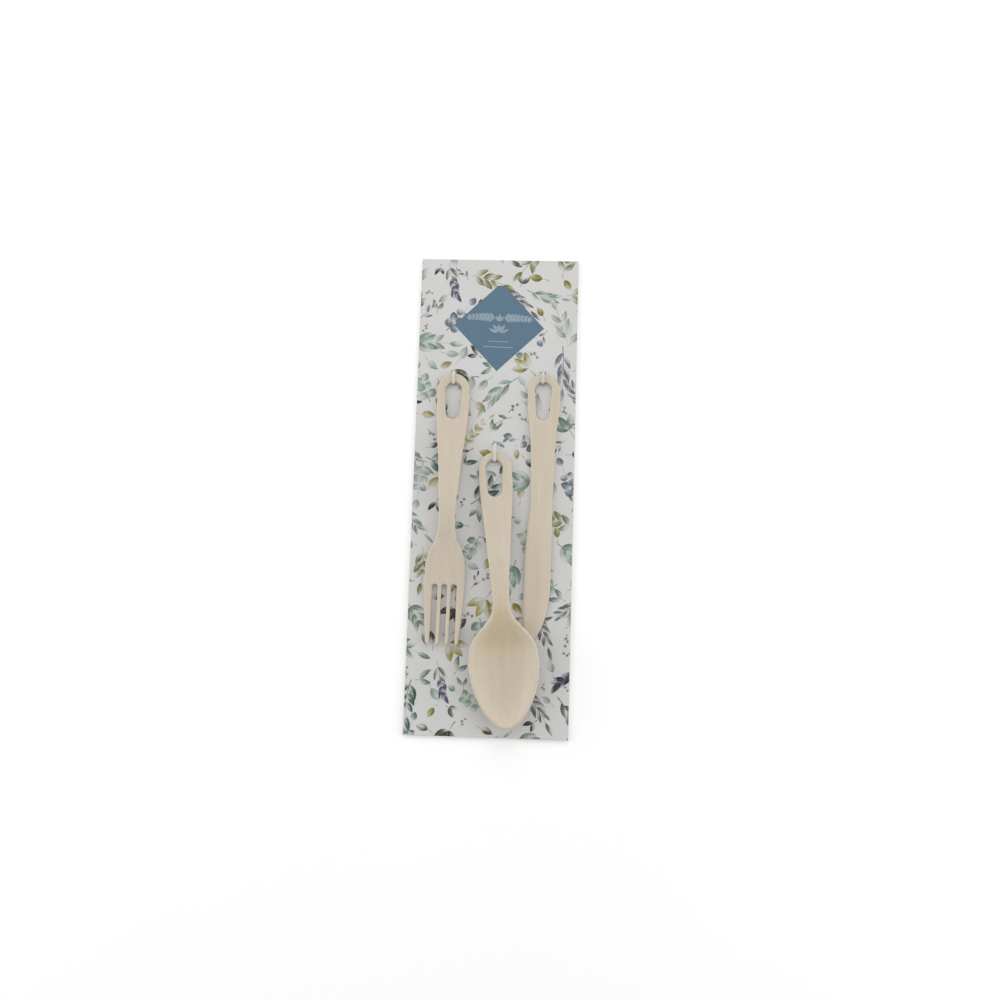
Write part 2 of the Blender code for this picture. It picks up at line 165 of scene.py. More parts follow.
# Leaf print
LARGE_SPACING = 19.6         # least distance between large sprigs
SMALL_SPACING = 8.4
SPRIG_CLEARANCE = 3.0        # least distance from a small sprig's middle to a large sprig
PRINT_BLEED = 8.0            # how far past the card's edges sprigs still start
PRINT_SEED = 7
LARGE_MOST = 60000.0         # most points to the square metre that the spacing then thins
SMALL_MOST = 200000.0
LARGE_SIZES = (0.82, 1.05)   # least and most that a sprig is scaled
SMALL_SIZES = (0.75, 1.1)
LEAF_POINTS = 10
STEM_POINTS = 14
SLIT_CLEAR = 0.1             # bare card round a slit
SLIT_REACH = 8.0             # faces whose middles are this near a slit are cut for it

# Camera: where it stands over the card, in metres, and how it is turned, in degrees
CAMERA_PLACE = (0.03513, -0.10233, 0.69003)
CAMERA_TURN = (8.110, 2.296, 1.778)
CAMERA_LENS = 40.33

# Lights that face the pack: name, place in metres, size in metres, power in watts
SOFTBOXES = (
    ("key_left", (-1.25, 0.2, 0.62), (1.3, 0.9), 6.8),
    ("low_left", (-1.3, 0.1, 0.28), (1.3, 0.4), 3.0),
    ("fill_right", (1.25, 0.1, 0.62), (1.3, 0.9), 6.3),
    ("low_right", (1.3, 0.0, 0.28), (1.3, 0.4), 2.8),
    ("top_end", (0.1, 1.4, 0.95), (1.3, 0.9), 7.6),
)
AIR_STRENGTH = 0.54
FLOOR_SIZE = 12.0            # in metres


# ---- objects and nodes

def add_object(name, data):
    """An object in the scene, at the origin."""
    made = bpy.data.objects.new(name, data)
    bpy.context.scene.collection.objects.link(made)
    return made


def make_mesh(name, points, faces):
    """A mesh from points in millimetres."""
    data = bpy.data.meshes.new(name)
    data.from_pydata([tuple(p) for p in np.asarray(points) * MM], [], faces)
    data.update()
    return data


def srgb(red, green, blue):
    """A colour given in the usual 0 to 255 steps, as the linear values that a shader needs."""
    shares = [channel / 255 for channel in (red, green, blue)]
    return tuple(c / 12.92 if c <= 0.04045 else ((c + 0.055) / 1.055) ** 2.4 for c in shares)


def dimmed(colour, share):
    """A colour made darker, or lighter with a share above 1."""
    return tuple(channel * share for channel in colour)


def start_material(name, roughness, specular):
    """A material, its node tree and its Principled shader."""
    material = bpy.data.materials.new(name)
    material.use_nodes = True
    tree = material.node_tree
    shader = tree.nodes["Principled BSDF"]
    shader.inputs["Roughness"].default_value = roughness
    shader.inputs["Specular IOR Level"].default_value = specular
    return material, tree, shader


def plug(tree, socket, value):
    """Give an input a value, or link another node's output to it."""
    if isinstance(value, bpy.types.NodeSocket):
        tree.links.new(value, socket)
    elif socket.type == "RGBA":
        socket.default_value = (*value, 1.0)
    else:
        socket.default_value = value


def add_node(tree, kind, settings=None, inputs=None):
    """A node with its settings; inputs maps names or numbers of inputs to values or outputs."""
    node = tree.nodes.new(kind)
    for key, value in (settings or {}).items():
        setattr(node, key, value)
    for key, value in (inputs or {}).items():
        plug(tree, node.inputs[key], value)
    return node


def attribute(tree, name):
    """The outputs of a mesh attribute."""
    return add_node(tree, "ShaderNodeAttribute", {"attribute_name": name}).outputs


def object_place(tree):
    """Coordinates fixed to the object, in metres."""
    return add_node(tree, "ShaderNodeTexCoord").outputs["Object"]


def ramp(tree, factor, *stops):
    """A colour that runs between two (place, colour) stops."""
    node = add_node(tree, "ShaderNodeValToRGB", None, {"Fac": factor})
    for element, (place, colour) in zip(node.color_ramp.elements, stops):
        element.position = place
        element.color = (*colour, 1.0)
    return node.outputs["Color"]


def mix_colour(tree, factor, first, second, blend="MIX"):
    """A mix of two colours, each a socket or a colour."""
    settings = {"data_type": "RGBA", "blend_type": blend, "clamp_factor": True}
    return add_node(tree, "ShaderNodeMix", settings, {0: factor, 6: first, 7: second}).outputs[2]


def noise(tree, vector, scale, detail=3.0, roughness=0.5, turn=(0.0, 0.0, 0.0)):
    """Noise on coordinates, with one scale or one for each axis."""
    scales = scale if isinstance(scale, tuple) else (scale, scale, scale)
    mapping = add_node(tree, "ShaderNodeMapping", None,
                       {"Vector": vector, "Scale": scales, "Rotation": turn})
    inputs = {"Vector": mapping.outputs["Vector"], "Scale": 1.0, "Detail": detail, "Roughness": roughness}
    return add_node(tree, "ShaderNodeTexNoise", None, inputs).outputs["Fac"]


def scaled(tree, value, low, high, new_low, new_high):
    """A value moved from one range to another, and kept within it."""
    inputs = {"Value": value, "From Min": low, "From Max": high, "To Min": new_low, "To Max": new_high}
    return add_node(tree, "ShaderNodeMapRange", {"clamp": True}, inputs).outputs["Result"]


def combine(tree, operation, first, second=0.0):
    """A Math node on two values."""
    return add_node(tree, "ShaderNodeMath", {"operation": operation}, {0: first, 1: second}).outputs[0]


def add_bump(tree, shader, height, strength, distance):
    """Relief from a height value; distance is in metres."""
    inputs = {"Strength": strength, "Distance": distance, "Height": height}
    bump = add_node(tree, "ShaderNodeBump", None, inputs)
    tree.links.new(bump.outputs["Normal"], shader.inputs["Normal"])


# ---- materials

def pressed_birch(name, shift):
    """Pale close-grained wood: soft bands and fine lines along the piece, and short pores; painted shade
    darkens and warms it where the mesh asks.
    """
    material, tree, shader = start_material(name, 0.58, 0.35)
    light, dark = srgb(207, 196, 178), srgb(201, 188, 169)
    place = add_node(tree, "ShaderNodeVectorMath", {"operation": "ADD"},
                     {0: attribute(tree, "grain")["Vector"], 1: shift}).outputs["Vector"]
    wander = add_node(tree, "ShaderNodeTexNoise", None, {"Vector": place, "Scale": 0.02, "Detail": 2.0})
    bent = add_node(tree, "ShaderNodeVectorMath", {"operation": "MULTIPLY_ADD"},
                    {0: wander.outputs["Color"], 1: (5.0, 0.0, 5.0), 2: place}).outputs["Vector"]
    bands = noise(tree, bent, (0.22, 0.012, 0.5), 3.0, 0.55)
    lines = noise(tree, bent, (2.6, 0.035, 3.0), 3.0, 0.6)
    pores = noise(tree, bent, (6.0, 0.35, 6.0), 2.0)
    flecks = noise(tree, bent, (0.9, 0.5, 0.9), 3.0, 0.6)
    colour = ramp(tree, bands, (0.3, light), (0.7, dark))
    colour = mix_colour(tree, scaled(tree, lines, 0.45, 0.75, 0.0, 0.30), colour, dimmed(dark, 0.86))
    pore_share = scaled(tree, pores, 0.66, 0.74, 0.0, 0.35)
    colour = mix_colour(tree, pore_share, colour, dimmed(dark, 0.72))
    colour = mix_colour(tree, scaled(tree, flecks, 0.5, 0.8, 0.0, 0.25), colour, dimmed(light, 1.08))
    # Painted shade: darker, warmer wood on the spoon bowl's steep slope by the neck, where it faces away
    # from the light.
    shaded_wood = mix_colour(tree, 1.0, colour, (0.97, 0.92, 0.775), "MULTIPLY")
    colour = mix_colour(tree, attribute(tree, "slope_shade")["Fac"], colour, shaded_wood)
    tree.links.new(colour, shader.inputs["Base Color"])
    tree.links.new(scaled(tree, lines, 0.3, 0.7, 0.52, 0.66), shader.inputs["Roughness"])
    relief = combine(tree, "SUBTRACT", lines, combine(tree, "MULTIPLY", pore_share, 1.5))
    add_bump(tree, shader, relief, 0.35, 0.00005)
    return material


def coated_white():
    """The card's printed side: white coated paper, faintly mottled."""
    material, tree, shader = start_material("coated_white", 0.42, 0.4)
    place = object_place(tree)
    cloud = noise(tree, place, 28.0)
    fibre = noise(tree, place, 900.0, 3.0, 0.6)
    colour = ramp(tree, cloud, (0.3, srgb(212, 211, 210)), (0.7, srgb(206, 206, 203)))
    colour = mix_colour(tree, scaled(tree, fibre, 0.35, 0.7, 0.0, 0.12), colour, srgb(190, 189, 184))
    tree.links.new(colour, shader.inputs["Base Color"])
    tree.links.new(scaled(tree, fibre, 0.3, 0.7, 0.38, 0.5), shader.inputs["Roughness"])
    add_bump(tree, shader, fibre, 0.15, 0.00002)
    return material


def plain_board(name, light, dark):
    """Uncoated board, with fibres and specks: the card's back and cut edges."""
    material, tree, shader = start_material(name, 0.85, 0.2)
    place = object_place(tree)
    cloud = noise(tree, place, 60.0, 4.0, 0.6)
    fibre = noise(tree, place, (1500.0, 320.0, 3000.0), 4.0, 0.65, (0.0, 0.0, 0.5))
    specks = noise(tree, place, 700.0, 2.0)
    colour = ramp(tree, cloud, (0.3, light), (0.7, dark))
    colour = mix_colour(tree, scaled(tree, fibre, 0.45, 0.7, 0.0, 0.35), colour, dimmed(dark, 0.8))
    colour = mix_colour(tree, scaled(tree, specks, 0.70, 0.76, 0.0, 0.5), colour, dimmed(dark, 0.5))
    tree.links.new(colour, shader.inputs["Base Color"])
    add_bump(tree, shader, fibre, 0.4, 0.00004)
    return material


def leaf_ink():
    """Water-colour print: each leaf runs from a pale wash of its tint to a deep one."""
    material, tree, shader = start_material("leaf_ink", 0.42, 0.4)
    tint = attribute(tree, "tint")["Color"]
    parts = add_node(tree, "ShaderNodeSeparateXYZ", None, {"Vector": attribute(tree, "leaf")["Vector"]})
    along, across, wash = parts.outputs
    cloud = noise(tree, object_place(tree), 260.0, 3.0, 0.6)
    paper = srgb(208, 208, 206)
    depth = combine(tree, "ADD", scaled(tree, along, 0.0, 1.0, 0.0, 0.86), wash)
    depth = combine(tree, "ADD", depth, scaled(tree, cloud, 0.3, 0.7, -0.2, 0.2))
    depth = combine(tree, "ADD", depth, scaled(tree, across, -0.2, 0.2, -0.14, 0.14))
    deep = mix_colour(tree, 0.7, tint, srgb(30, 36, 38))
    colour = mix_colour(tree, scaled(tree, depth, 0.0, 0.55, 0.18, 1.0), paper, tint)
    colour = mix_colour(tree, scaled(tree, depth, 0.55, 1.1, 0.0, 0.8), colour, deep)
    width = combine(tree, "ABSOLUTE", across)
    colour = mix_colour(tree, scaled(tree, width, 0.75, 1.0, 0.0, 0.3), colour, deep)
    colour = mix_colour(tree, scaled(tree, width, 0.03, 0.10, 0.3, 0.0), colour, paper)
    tree.links.new(colour, shader.inputs["Base Color"])
    add_bump(tree, shader, cloud, 0.08, 0.00002)
    return material


def label_ink(name, colour, deep):
    """A flat field of printed colour, faintly uneven like thin ink on paper."""
    material, tree, shader = start_material(name, 0.45, 0.4)
    place = object_place(tree)
    cloud = noise(tree, place, 45.0, 4.0, 0.6)
    tooth = noise(tree, place, 1100.0, 2.0, 0.6)
    shade = ramp(tree, cloud, (0.3, colour), (0.75, deep))
    shade = mix_colour(tree, scaled(tree, tooth, 0.5, 0.75, 0.0, 0.10), shade, srgb(200, 205, 208))
    tree.links.new(shade, shader.inputs["Base Color"])
    tree.links.new(scaled(tree, tooth, 0.3, 0.7, 0.4, 0.52), shader.inputs["Roughness"])
    return material


def tie_cream():
    """A soft cream strip with fine ribs along it."""
    material, tree, shader = start_material("tie_strip_cream", 0.5, 0.4)
    shader.inputs["Subsurface Weight"].default_value = 0.15
    shader.inputs["Subsurface Radius"].default_value = (0.0006, 0.0005, 0.0004)
    place = object_place(tree)
    ribs = noise(tree, place, (3200.0, 120.0, 120.0), 2.0)
    cloud = noise(tree, place, 300.0)
    colour = ramp(tree, cloud, (0.3, srgb(211, 208, 200)), (0.7, srgb(205, 200, 190)))
    colour = mix_colour(tree, scaled(tree, ribs, 0.4, 0.7, 0.0, 0.3), colour, srgb(191, 185, 174))
    tree.links.new(colour, shader.inputs["Base Color"])
    add_bump(tree, shader, ribs, 0.4, 0.00006)
    return material


def floor_white():
    """The plain pale surface that the pack lies on."""
    material, tree, shader = start_material("floor_white", 0.9, 0.0)
    cloud = noise(tree, object_place(tree), 3.0, 2.0)
    colour = ramp(tree, cloud, (0.3, (1.0, 1.0, 1.0)), (0.7, (0.985, 0.985, 0.985)))
    tree.links.new(colour, shader.inputs["Base Color"])
    tree.links.new(colour, shader.inputs["Emission Color"])
    shader.inputs["Emission Strength"].default_value = 0.08
    return material


# ---- outlines

def smooth_step(low, high, value):
    """0 below low, 1 above high, and a smooth rise between them."""
    t = np.clip((value - low) / (high - low), 0.0, 1.0)
    return t * t * (3.0 - 2.0 * t)


def station_curve(stations):
    """A function that runs smoothly through stations, without overshooting them."""
    xs, ys = (np.array(column, float) for column in zip(*stations))
    steps = np.diff(xs)
    slopes = np.diff(ys) / steps
    tangents = np.zeros(len(xs))
    tangents[0] = slopes[0]
    tangents[-1] = slopes[-1]
    for i in range(1, len(xs) - 1):
        if slopes[i - 1] * slopes[i] > 0.0:
            before = 2.0 * steps[i] + steps[i - 1]
            after = steps[i] + 2.0 * steps[i - 1]
            tangents[i] = (before + after) / (before / slopes[i - 1] + after / slopes[i])

    def value(x):
        x = np.clip(x, xs[0], xs[-1])
        i = np.clip(np.searchsorted(xs, x, side="right") - 1, 0, len(steps) - 1)
        t = (x - xs[i]) / steps[i]
        rise = ys[i + 1] - ys[i]
        pull = t * (1.0 - t)
        blend = t * t * (3.0 - 2.0 * t)
        return (ys[i] + rise * blend
                + pull * (1.0 - t) * steps[i] * tangents[i]
                - pull * t * steps[i] * tangents[i + 1])

    return value


def arc(centre, radius_x, radius_y, start, end, count):
    """Points on an ellipse between two angles in degrees, both ends included."""
    angles = np.radians(np.linspace(start, end, count))
    return np.column_stack([centre[0] + radius_x * np.cos(angles), centre[1] + radius_y * np.sin(angles)])


def side_points(width, start, end, side):
    """Points down one side of a piece: side is -1 for the left and 1 for the right."""
    s = np.linspace(start, end, round((end - start) / POINT_SPACING) + 1)
    return np.column_stack([side * width(s), -s])


def handle_end(radius, side):
    """The quarter circle from the end of a handle to one of its sides."""
    count = round(radius * math.pi / 2 / POINT_SPACING) + 1
    return arc((0.0, -radius), radius, radius, 90.0, 180.0 if side < 0 else 0.0, count)


def join_loop(*runs):
    """One closed loop from runs of points, without the points that repeat."""
    points = np.vstack(runs)
    steps = np.linalg.norm(points - np.roll(points, 1, axis=0), axis=1)
    return points[steps > REPEAT_GAP]


def slot_loop(slot):
    """A slot with round ends, as a loop."""
    near, far, near_width, far_width, x = slot
    near_half, far_half = near_width / 2, far_width / 2
    count = round(near_half * math.pi / POINT_SPACING) + 1
    top = arc((x, -near - near_half), near_half, near_half, 0.0, 180.0, count)
    bottom = arc((x, -far + far_half), far_half, far_half, 180.0, 360.0, count)
    steps = round((far - near - near_width) / POINT_SPACING)
    shares = np.linspace(0.0, 1.0, steps + 1)[1:-1, None]
    left = top[-1] + (bottom[0] - top[-1]) * shares
    right = bottom[-1] + (top[0] - bottom[-1]) * shares
    return join_loop(top, left, bottom, right)


def fork_outline():
    """Down the left side, round the tines and their gaps, and up the right side."""
    width = station_curve(FORK_WIDTHS)
    half_gap = FORK_GAP_WIDTH / 2
    half_mouth = FORK_GAP_MOUTH / 2
    bounds = [-width(FORK_SHOULDER)]
    for middle in FORK_GAPS:
        bounds += [middle - half_mouth, middle + half_mouth]
    bounds.append(width(FORK_SHOULDER))
    runs = [handle_end(FORK_END, -1), side_points(width, FORK_END, FORK_SHOULDER, -1)]
    root = FORK_GAP_ROOT + half_gap
    s = np.linspace(FORK_SHOULDER, root, round((FORK_SHOULDER - root) / POINT_SPACING))
    half = half_gap + (half_mouth - half_gap) * (s - root) / (FORK_SHOULDER - root)
    for tine in range(len(FORK_GAPS) + 1):
        low, high = bounds[2 * tine], bounds[2 * tine + 1]
        runs.append(arc(((low + high) / 2, -FORK_SHOULDER), (high - low) / 2,
                        FORK_LENGTH - FORK_SHOULDER, 180.0, 360.0, TINE_END_POINTS))
        if tine < len(FORK_GAPS):
            middle = FORK_GAPS[tine]
            runs.append(np.column_stack([middle - half, -s]))
            runs.append(arc((middle, -root), half_gap, half_gap, 180.0, 0.0, GAP_END_POINTS))
            runs.append(np.column_stack([middle + half, -s])[::-1])
    runs.append(side_points(width, FORK_END, FORK_SHOULDER, 1)[::-1])
    runs.append(handle_end(FORK_END, 1)[::-1])
    return join_loop(*runs)


def spoon_half_width(s):
    """Half the spoon's width at the distance s from the handle's end."""
    share = np.clip((s - SPOON_WIDEST) / (SPOON_LENGTH - SPOON_WIDEST), 0.0, 1.0)
    tip = SPOON_BOWL_HALF * (1.0 - share ** SPOON_TIP_POWER) ** (1.0 / SPOON_TIP_POWER)
    return np.where(s < SPOON_WIDEST, station_curve(SPOON_WIDTHS)(s), tip)


def spoon_outline():
    """The left side from the handle's end to the bowl's tip, and back up the right side."""
    turns = np.radians(np.linspace(0.0, 90.0, BOWL_TIP_POINTS))
    upper = np.linspace(SPOON_END, SPOON_WIDEST, round((SPOON_WIDEST - SPOON_END) / POINT_SPACING))
    tip = SPOON_WIDEST + (SPOON_LENGTH - SPOON_WIDEST) * np.sin(turns)
    s = np.concatenate([upper, tip[1:]])
    half = spoon_half_width(s)
    half[-1] = 0.0
    left = np.column_stack([-half, -s])
    right = np.column_stack([half, -s])[::-1]
    return join_loop(handle_end(SPOON_END, -1), left, right, handle_end(SPOON_END, 1)[::-1])


def knife_outline():
    """Down the spine, round the point, and back up the cutting edge."""
    spine = station_curve(KNIFE_SPINES)
    edge = station_curve(KNIFE_EDGES)
    start = KNIFE_SPINES[-1][0]
    low, high = -spine(start), edge(start)
    point = arc(((low + high) / 2, -start), (high - low) / 2, KNIFE_LENGTH - start, 180.0, 360.0,
                KNIFE_POINT_POINTS)
    return join_loop(handle_end(KNIFE_END, -1), side_points(spine, KNIFE_END, start, -1), point,
                     side_points(edge, KNIFE_END, start, 1)[::-1], handle_end(KNIFE_END, 1)[::-1])


# ---- how the wood is pressed

# Each of these takes x across a piece and s along it, from the end of its handle.

def fork_height(x, s):
    """The fork's middle layer: an arched handle and slightly raised tines."""
    return station_curve(FORK_RISES)(s)


def spoon_across(x, s):
    """How far out a point is, as a share of the spoon's half width."""
    return np.abs(x) / np.maximum(spoon_half_width(s), LEAST_HALF)


def spoon_height(x, s):
    """The spoon's middle layer: the arched handle, and the bowl dished below its rim."""
    rise = station_curve(SPOON_RISES)(s)
    share = np.clip((s - BOWL_FLOOR_END) / (SPOON_LENGTH - BOWL_FLOOR_END), 0.0, 1.0)
    fall = smooth_step(BOWL_START, BOWL_FLOOR_START, s) * (1.0 - share ** BOWL_TIP_POWER)
    across = np.minimum(spoon_across(x, s), 1.0)
    return rise - BOWL_DEPTH * fall * (1.0 - across ** BOWL_SIDE_POWER)


def flat_height(x, s):
    """Wood that lies flat, as the knife does."""
    return np.zeros_like(x)


def spoon_slope_shade(x, s):
    """How much painted shade the steep part of the bowl next to the neck gets: darker, warmer wood where it
    faces away from the light.
    """
    start, full, fade, end = SLOPE_SHADE_ALONG
    along = smooth_step(start, full, s) * (1.0 - smooth_step(fade, end, s))
    return along * (1.0 - smooth_step(*SLOPE_SHADE_ACROSS, spoon_across(x, s)))


def no_slope_shade(x, s):
    """Wood with no painted shade."""
    return np.zeros_like(x)


def full_share(x, s):
    """Wood that keeps its thickness."""
    return np.ones_like(x)


def knife_share(x, s):
    """The share of its full thickness that the knife has: less towards the cutting edge."""
    inside = station_curve(KNIFE_EDGES)(s) - x
    strip = 1.0 - smooth_step(0.0, KNIFE_BEVEL, inside)
    along = smooth_step(KNIFE_BEVEL_START, KNIFE_BEVEL_FULL, s)
    return 1.0 - (1.0 - KNIFE_EDGE_SHARE) * strip * along


# ---- sheets cut from outlines

def signed_area(loop):
    """Area of a loop: above zero when it runs anticlockwise."""
    ahead = np.roll(loop, -1, axis=0)
    return float((loop[:, 0] * ahead[:, 1] - ahead[:, 0] * loop[:, 1]).sum() / 2)


def shrink(loop, inset):
    """A loop moved to its left by inset, which is into the wood, with its corners mitred."""
    before = loop - np.roll(loop, 1, axis=0)
    after = np.roll(loop, -1, axis=0) - loop
    before /= np.linalg.norm(before, axis=1)[:, None]
    after /= np.linalg.norm(after, axis=1)[:, None]
    tangent = before + after
    tangent /= np.linalg.norm(tangent, axis=1)[:, None]
    normal = np.column_stack([-tangent[:, 1], tangent[:, 0]])
    mitre = np.clip(np.abs((before * tangent).sum(axis=1)), 0.5, 1.0)
    return loop + normal * (inset / mitre)[:, None]


def inside_mask(points, loops):
    """Which points lie within the outer loop and outside the holes, by counting crossings."""
    odd = np.zeros(len(points), bool)
    for loop in loops:
        for (x1, y1), (x2, y2) in zip(loop, np.roll(loop, -1, axis=0)):
            spans = (y1 > points[:, 1]) != (y2 > points[:, 1])
            if spans.any():
                cross = x1 + (points[:, 1] - y1) * (x2 - x1) / (y2 - y1)
                odd ^= spans & (points[:, 0] < cross)
    return odd


def face_grid(loops, spacing):
    """Points in staggered rows on a face, kept most of a spacing away from its edges."""
    border = np.vstack(loops)
    low, high = border.min(axis=0), border.max(axis=0)
    rows = np.arange(low[1] + spacing / 2, high[1], spacing * math.sqrt(0.75))
    points = []
    for i, y in enumerate(rows):
        xs = np.arange(low[0] + spacing * (0.5 if i % 2 else 1.0), high[0], spacing)
        points.append(np.column_stack([xs, np.full(len(xs), y)]))
    points = np.vstack(points)
    points = points[inside_mask(points, loops)]
    gaps = np.linalg.norm(points[:, None, :] - border[None, :, :], axis=2).min(axis=1)
    return points[gaps > spacing * 0.6]


def fill_face(loops, extra):
    """Triangles over a face with holes, through all the loops' points and the extra ones."""
    points = np.vstack(loops + [extra])
    edges = []
    start = 0
    for loop in loops:
        edges += [(start + i, start + (i + 1) % len(loop)) for i in range(len(loop))]
        start += len(loop)
    result = delaunay_2d_cdt([Vector(p) for p in points], edges, [], 0, 1e-6)
    source = [ids[0] for ids in result[3]]
    triangles = [tuple(source[i] for i in face) for face in result[2]]
    middles = np.array([points[list(t)].mean(axis=0) for t in triangles])
    return [t for t, keep in zip(triangles, inside_mask(middles, loops)) if keep]


def wall_faces(counts, levels):
    """Four-cornered faces between rings of points, one ring of each loop's points at each level."""
    ring = sum(counts)
    faces = []
    for level in range(levels - 1):
        start = level * ring
        for count in counts:
            for i in range(count):
                a, b = start + i, start + (i + 1) % count
                faces.append((a, b, b + ring, a + ring))
            start += count
    return faces


def edge_profile():
    """(share of the edge's width, level from -1 to 1), from the under face round to the upper one."""
    under = WOOD_EDGE_UNDER / (WOOD_THICK / 2)
    over = WOOD_EDGE_DROP / (WOOD_THICK / 2)
    inset = WOOD_EDGE_UNDER / WOOD_EDGE
    turns = np.radians(np.linspace(0.0, 90.0, EDGE_STEPS + 1))
    low = [(inset * (1 - math.cos(a)), -1 + under - under * math.sin(a)) for a in turns]
    high = [(1 - math.cos(a), 1 - over + over * math.sin(a)) for a in turns]
    return low[::-1] + high


def pressed(flat, levels, height, share):
    """Points of an uncut flat sheet after pressing; levels run from -1 underneath to 1 on top."""
    x, s = flat[:, 0], -flat[:, 1]
    slope_x = (height(x + SLOPE_STEP, s) - height(x - SLOPE_STEP, s)) / (2 * SLOPE_STEP)
    slope_s = (height(x, s + SLOPE_STEP) - height(x, s - SLOPE_STEP)) / (2 * SLOPE_STEP)
    normals = np.column_stack([-slope_x, slope_s, np.ones(len(x))])
    normals /= np.linalg.norm(normals, axis=1)[:, None]
    half = levels * WOOD_THICK / 2 * share(x, s)
    return np.column_stack([flat, height(x, s)]) + normals * half[:, None]


def pressed_sheet(name, outline, slot, height, share, slope_shade, edge_stations, material):
    """Wood cut to an outline with a slot, with rounded edges, and pressed to shape.

    Its mesh keeps grain, each point's place along the wood, and how much painted shade each point gets.
    """
    outline = outline if signed_area(outline) > 0 else outline[::-1]
    hole = slot_loop(slot)
    loops = [outline, hole if signed_area(hole) < 0 else hole[::-1]]
    edge_width = station_curve(edge_stations)
    profile = edge_profile()
    flat, levels = [], []
    for inset, level in profile:
        for loop in loops:
            flat.append(shrink(loop, inset * edge_width(-loop[:, 1])))
            levels.append(np.full(len(loop), level))
    ring = sum(len(loop) for loop in loops)
    faces = wall_faces([len(loop) for loop in loops], len(profile))
    under, upper = flat[:2], flat[-2:]
    for inner, level, first in ((upper, 1.0, (len(profile) - 1) * ring), (under, -1.0, 0)):
        extra = face_grid(inner, FACE_SPACING)
        base = sum(len(part) for part in flat)
        flat.append(extra)
        levels.append(np.full(len(extra), level))
        for triangle in fill_face(inner, extra):
            corners = [first + i if i < ring else base + i - ring for i in triangle]
            faces.append(tuple(corners if level > 0 else reversed(corners)))
    flat = np.vstack(flat)
    points = pressed(flat, np.concatenate(levels), height, share)
    data = make_mesh(name, points, faces)
    grain = data.attributes.new("grain", "FLOAT_VECTOR", "POINT")
    grain.data.foreach_set("vector", points.astype(np.float32).ravel())
    # Painted shade for each point, which the wood's material reads
    kept = data.attributes.new("slope_shade", "FLOAT", "POINT")
    kept.data.foreach_set("value", slope_shade(flat[:, 0], -flat[:, 1]).astype(np.float32))
    data.shade_smooth()
    data.materials.append(material)
    return add_object(name, data)


def lay_on_node(piece, node, lean):
    """Turn a piece by its lean and put the middle of its box, and its lowest point, on a node's."""
    data = piece.data
    points = np.zeros(len(data.vertices) * 3)
    data.vertices.foreach_get("co", points)
    points = points.reshape(-1, 3)
    turn = math.radians(lean)
    spin = np.array([[math.cos(turn), -math.sin(turn)], [math.sin(turn), math.cos(turn)]])
    points[:, :2] = points[:, :2] @ spin.T
    low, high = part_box(node)
    middle = np.array((low + high) / 2)
    points[:, :2] += middle[:2] - (points[:, :2].min(axis=0) + points[:, :2].max(axis=0)) / 2
    points[:, 2] += low.z - points[:, 2].min()
    data.vertices.foreach_set("co", points.ravel())
    data.update()


def finish_piece(piece, slot, *nodes):
    """A piece of the pack: it rides on the one body, and stands for its CAD nodes."""
    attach(piece, ROOT)
    if nodes:
        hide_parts(*nodes)


def make_cutlery():
    """The fork, the spoon and the knife, each from its own blank."""
    blanks = (
        ("fork", fork_outline(), FORK_SLOT, fork_height, full_share, no_slope_shade, FORK_EDGES, FORK_LEAN,
         (0.0, 0.0, 0.0)),
        ("spoon", spoon_outline(), SPOON_SLOT, spoon_height, full_share, spoon_slope_shade, SPOON_EDGES,
         SPOON_LEAN, (61.0, 370.0, 12.0)),
        ("knife", knife_outline(), KNIFE_SLOT, flat_height, knife_share, no_slope_shade, KNIFE_ROUNDS,
         KNIFE_LEAN, (133.0, 810.0, 31.0)),
    )
    for node, outline, slot, height, share, slope_shade, edges, lean, shift in blanks:
        piece = pressed_sheet(f"wooden_{node}", outline, slot, height, share, slope_shade, edges,
                              pressed_birch(f"{node}_birch", shift))
        lay_on_node(piece, node, lean)
        finish_piece(piece, f"{node}_wood", node)


# ---- card

def slit_places():
    """Middles of the slits that each tie passes through, from the ties' boxes."""
    places = []
    for node in ("fork_tie", "spoon_tie", "knife_tie"):
        low, high = (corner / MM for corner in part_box(node))
        x = (low.x + high.x) / 2
        places += [(x, low.y + TIE_THICK / 2), (x, high.y - TIE_THICK / 2)]
    return places


def make_card():
    """The card: white printed side, plain back, cut edges and slits."""
    loops = [np.array([(CARD_LOW.x, CARD_LOW.y), (CARD_HIGH.x, CARD_LOW.y),
                       (CARD_HIGH.x, CARD_HIGH.y), (CARD_LOW.x, CARD_HIGH.y)])]
    dx, dy = SLIT_WIDTH / 2, SLIT_HEIGHT / 2
    for x, y in slit_places():
        loops.append(np.array([(x - dx, y - dy), (x - dx, y + dy), (x + dx, y + dy), (x + dx, y - dy)]))
    low, high = CARD_LOW.z, CARD_HIGH.z
    profile = ((CARD_EDGE, low), (0.0, low + CARD_EDGE), (0.0, high - CARD_EDGE), (CARD_EDGE, high))
    points = []
    for inset, z in profile:
        for loop in loops:
            moved = shrink(loop, inset)
            points.append(np.column_stack([moved, np.full(len(moved), z)]))
    walls = wall_faces([len(loop) for loop in loops], len(profile))
    triangles = fill_face([shrink(loop, CARD_EDGE) for loop in loops], np.empty((0, 2)))
    top = (len(profile) - 1) * sum(len(loop) for loop in loops)
    front = [(top + a, top + b, top + c) for a, b, c in triangles]
    back = [(c, b, a) for a, b, c in triangles]
    mesh = make_mesh("printed_card", np.vstack(points), walls + front + back)
    mesh.materials.append(coated_white())
    mesh.materials.append(plain_board("board_back", srgb(206, 203, 196), srgb(197, 193, 184)))
    mesh.materials.append(plain_board("board_cut_edge", srgb(205, 202, 194), srgb(188, 184, 174)))
    kinds = [2] * len(walls) + [0] * len(front) + [1] * len(back)
    mesh.polygons.foreach_set("material_index", kinds)
    finish_piece(add_object("printed_card", mesh), "printed_card", "backing_card")


# ---- leaf print

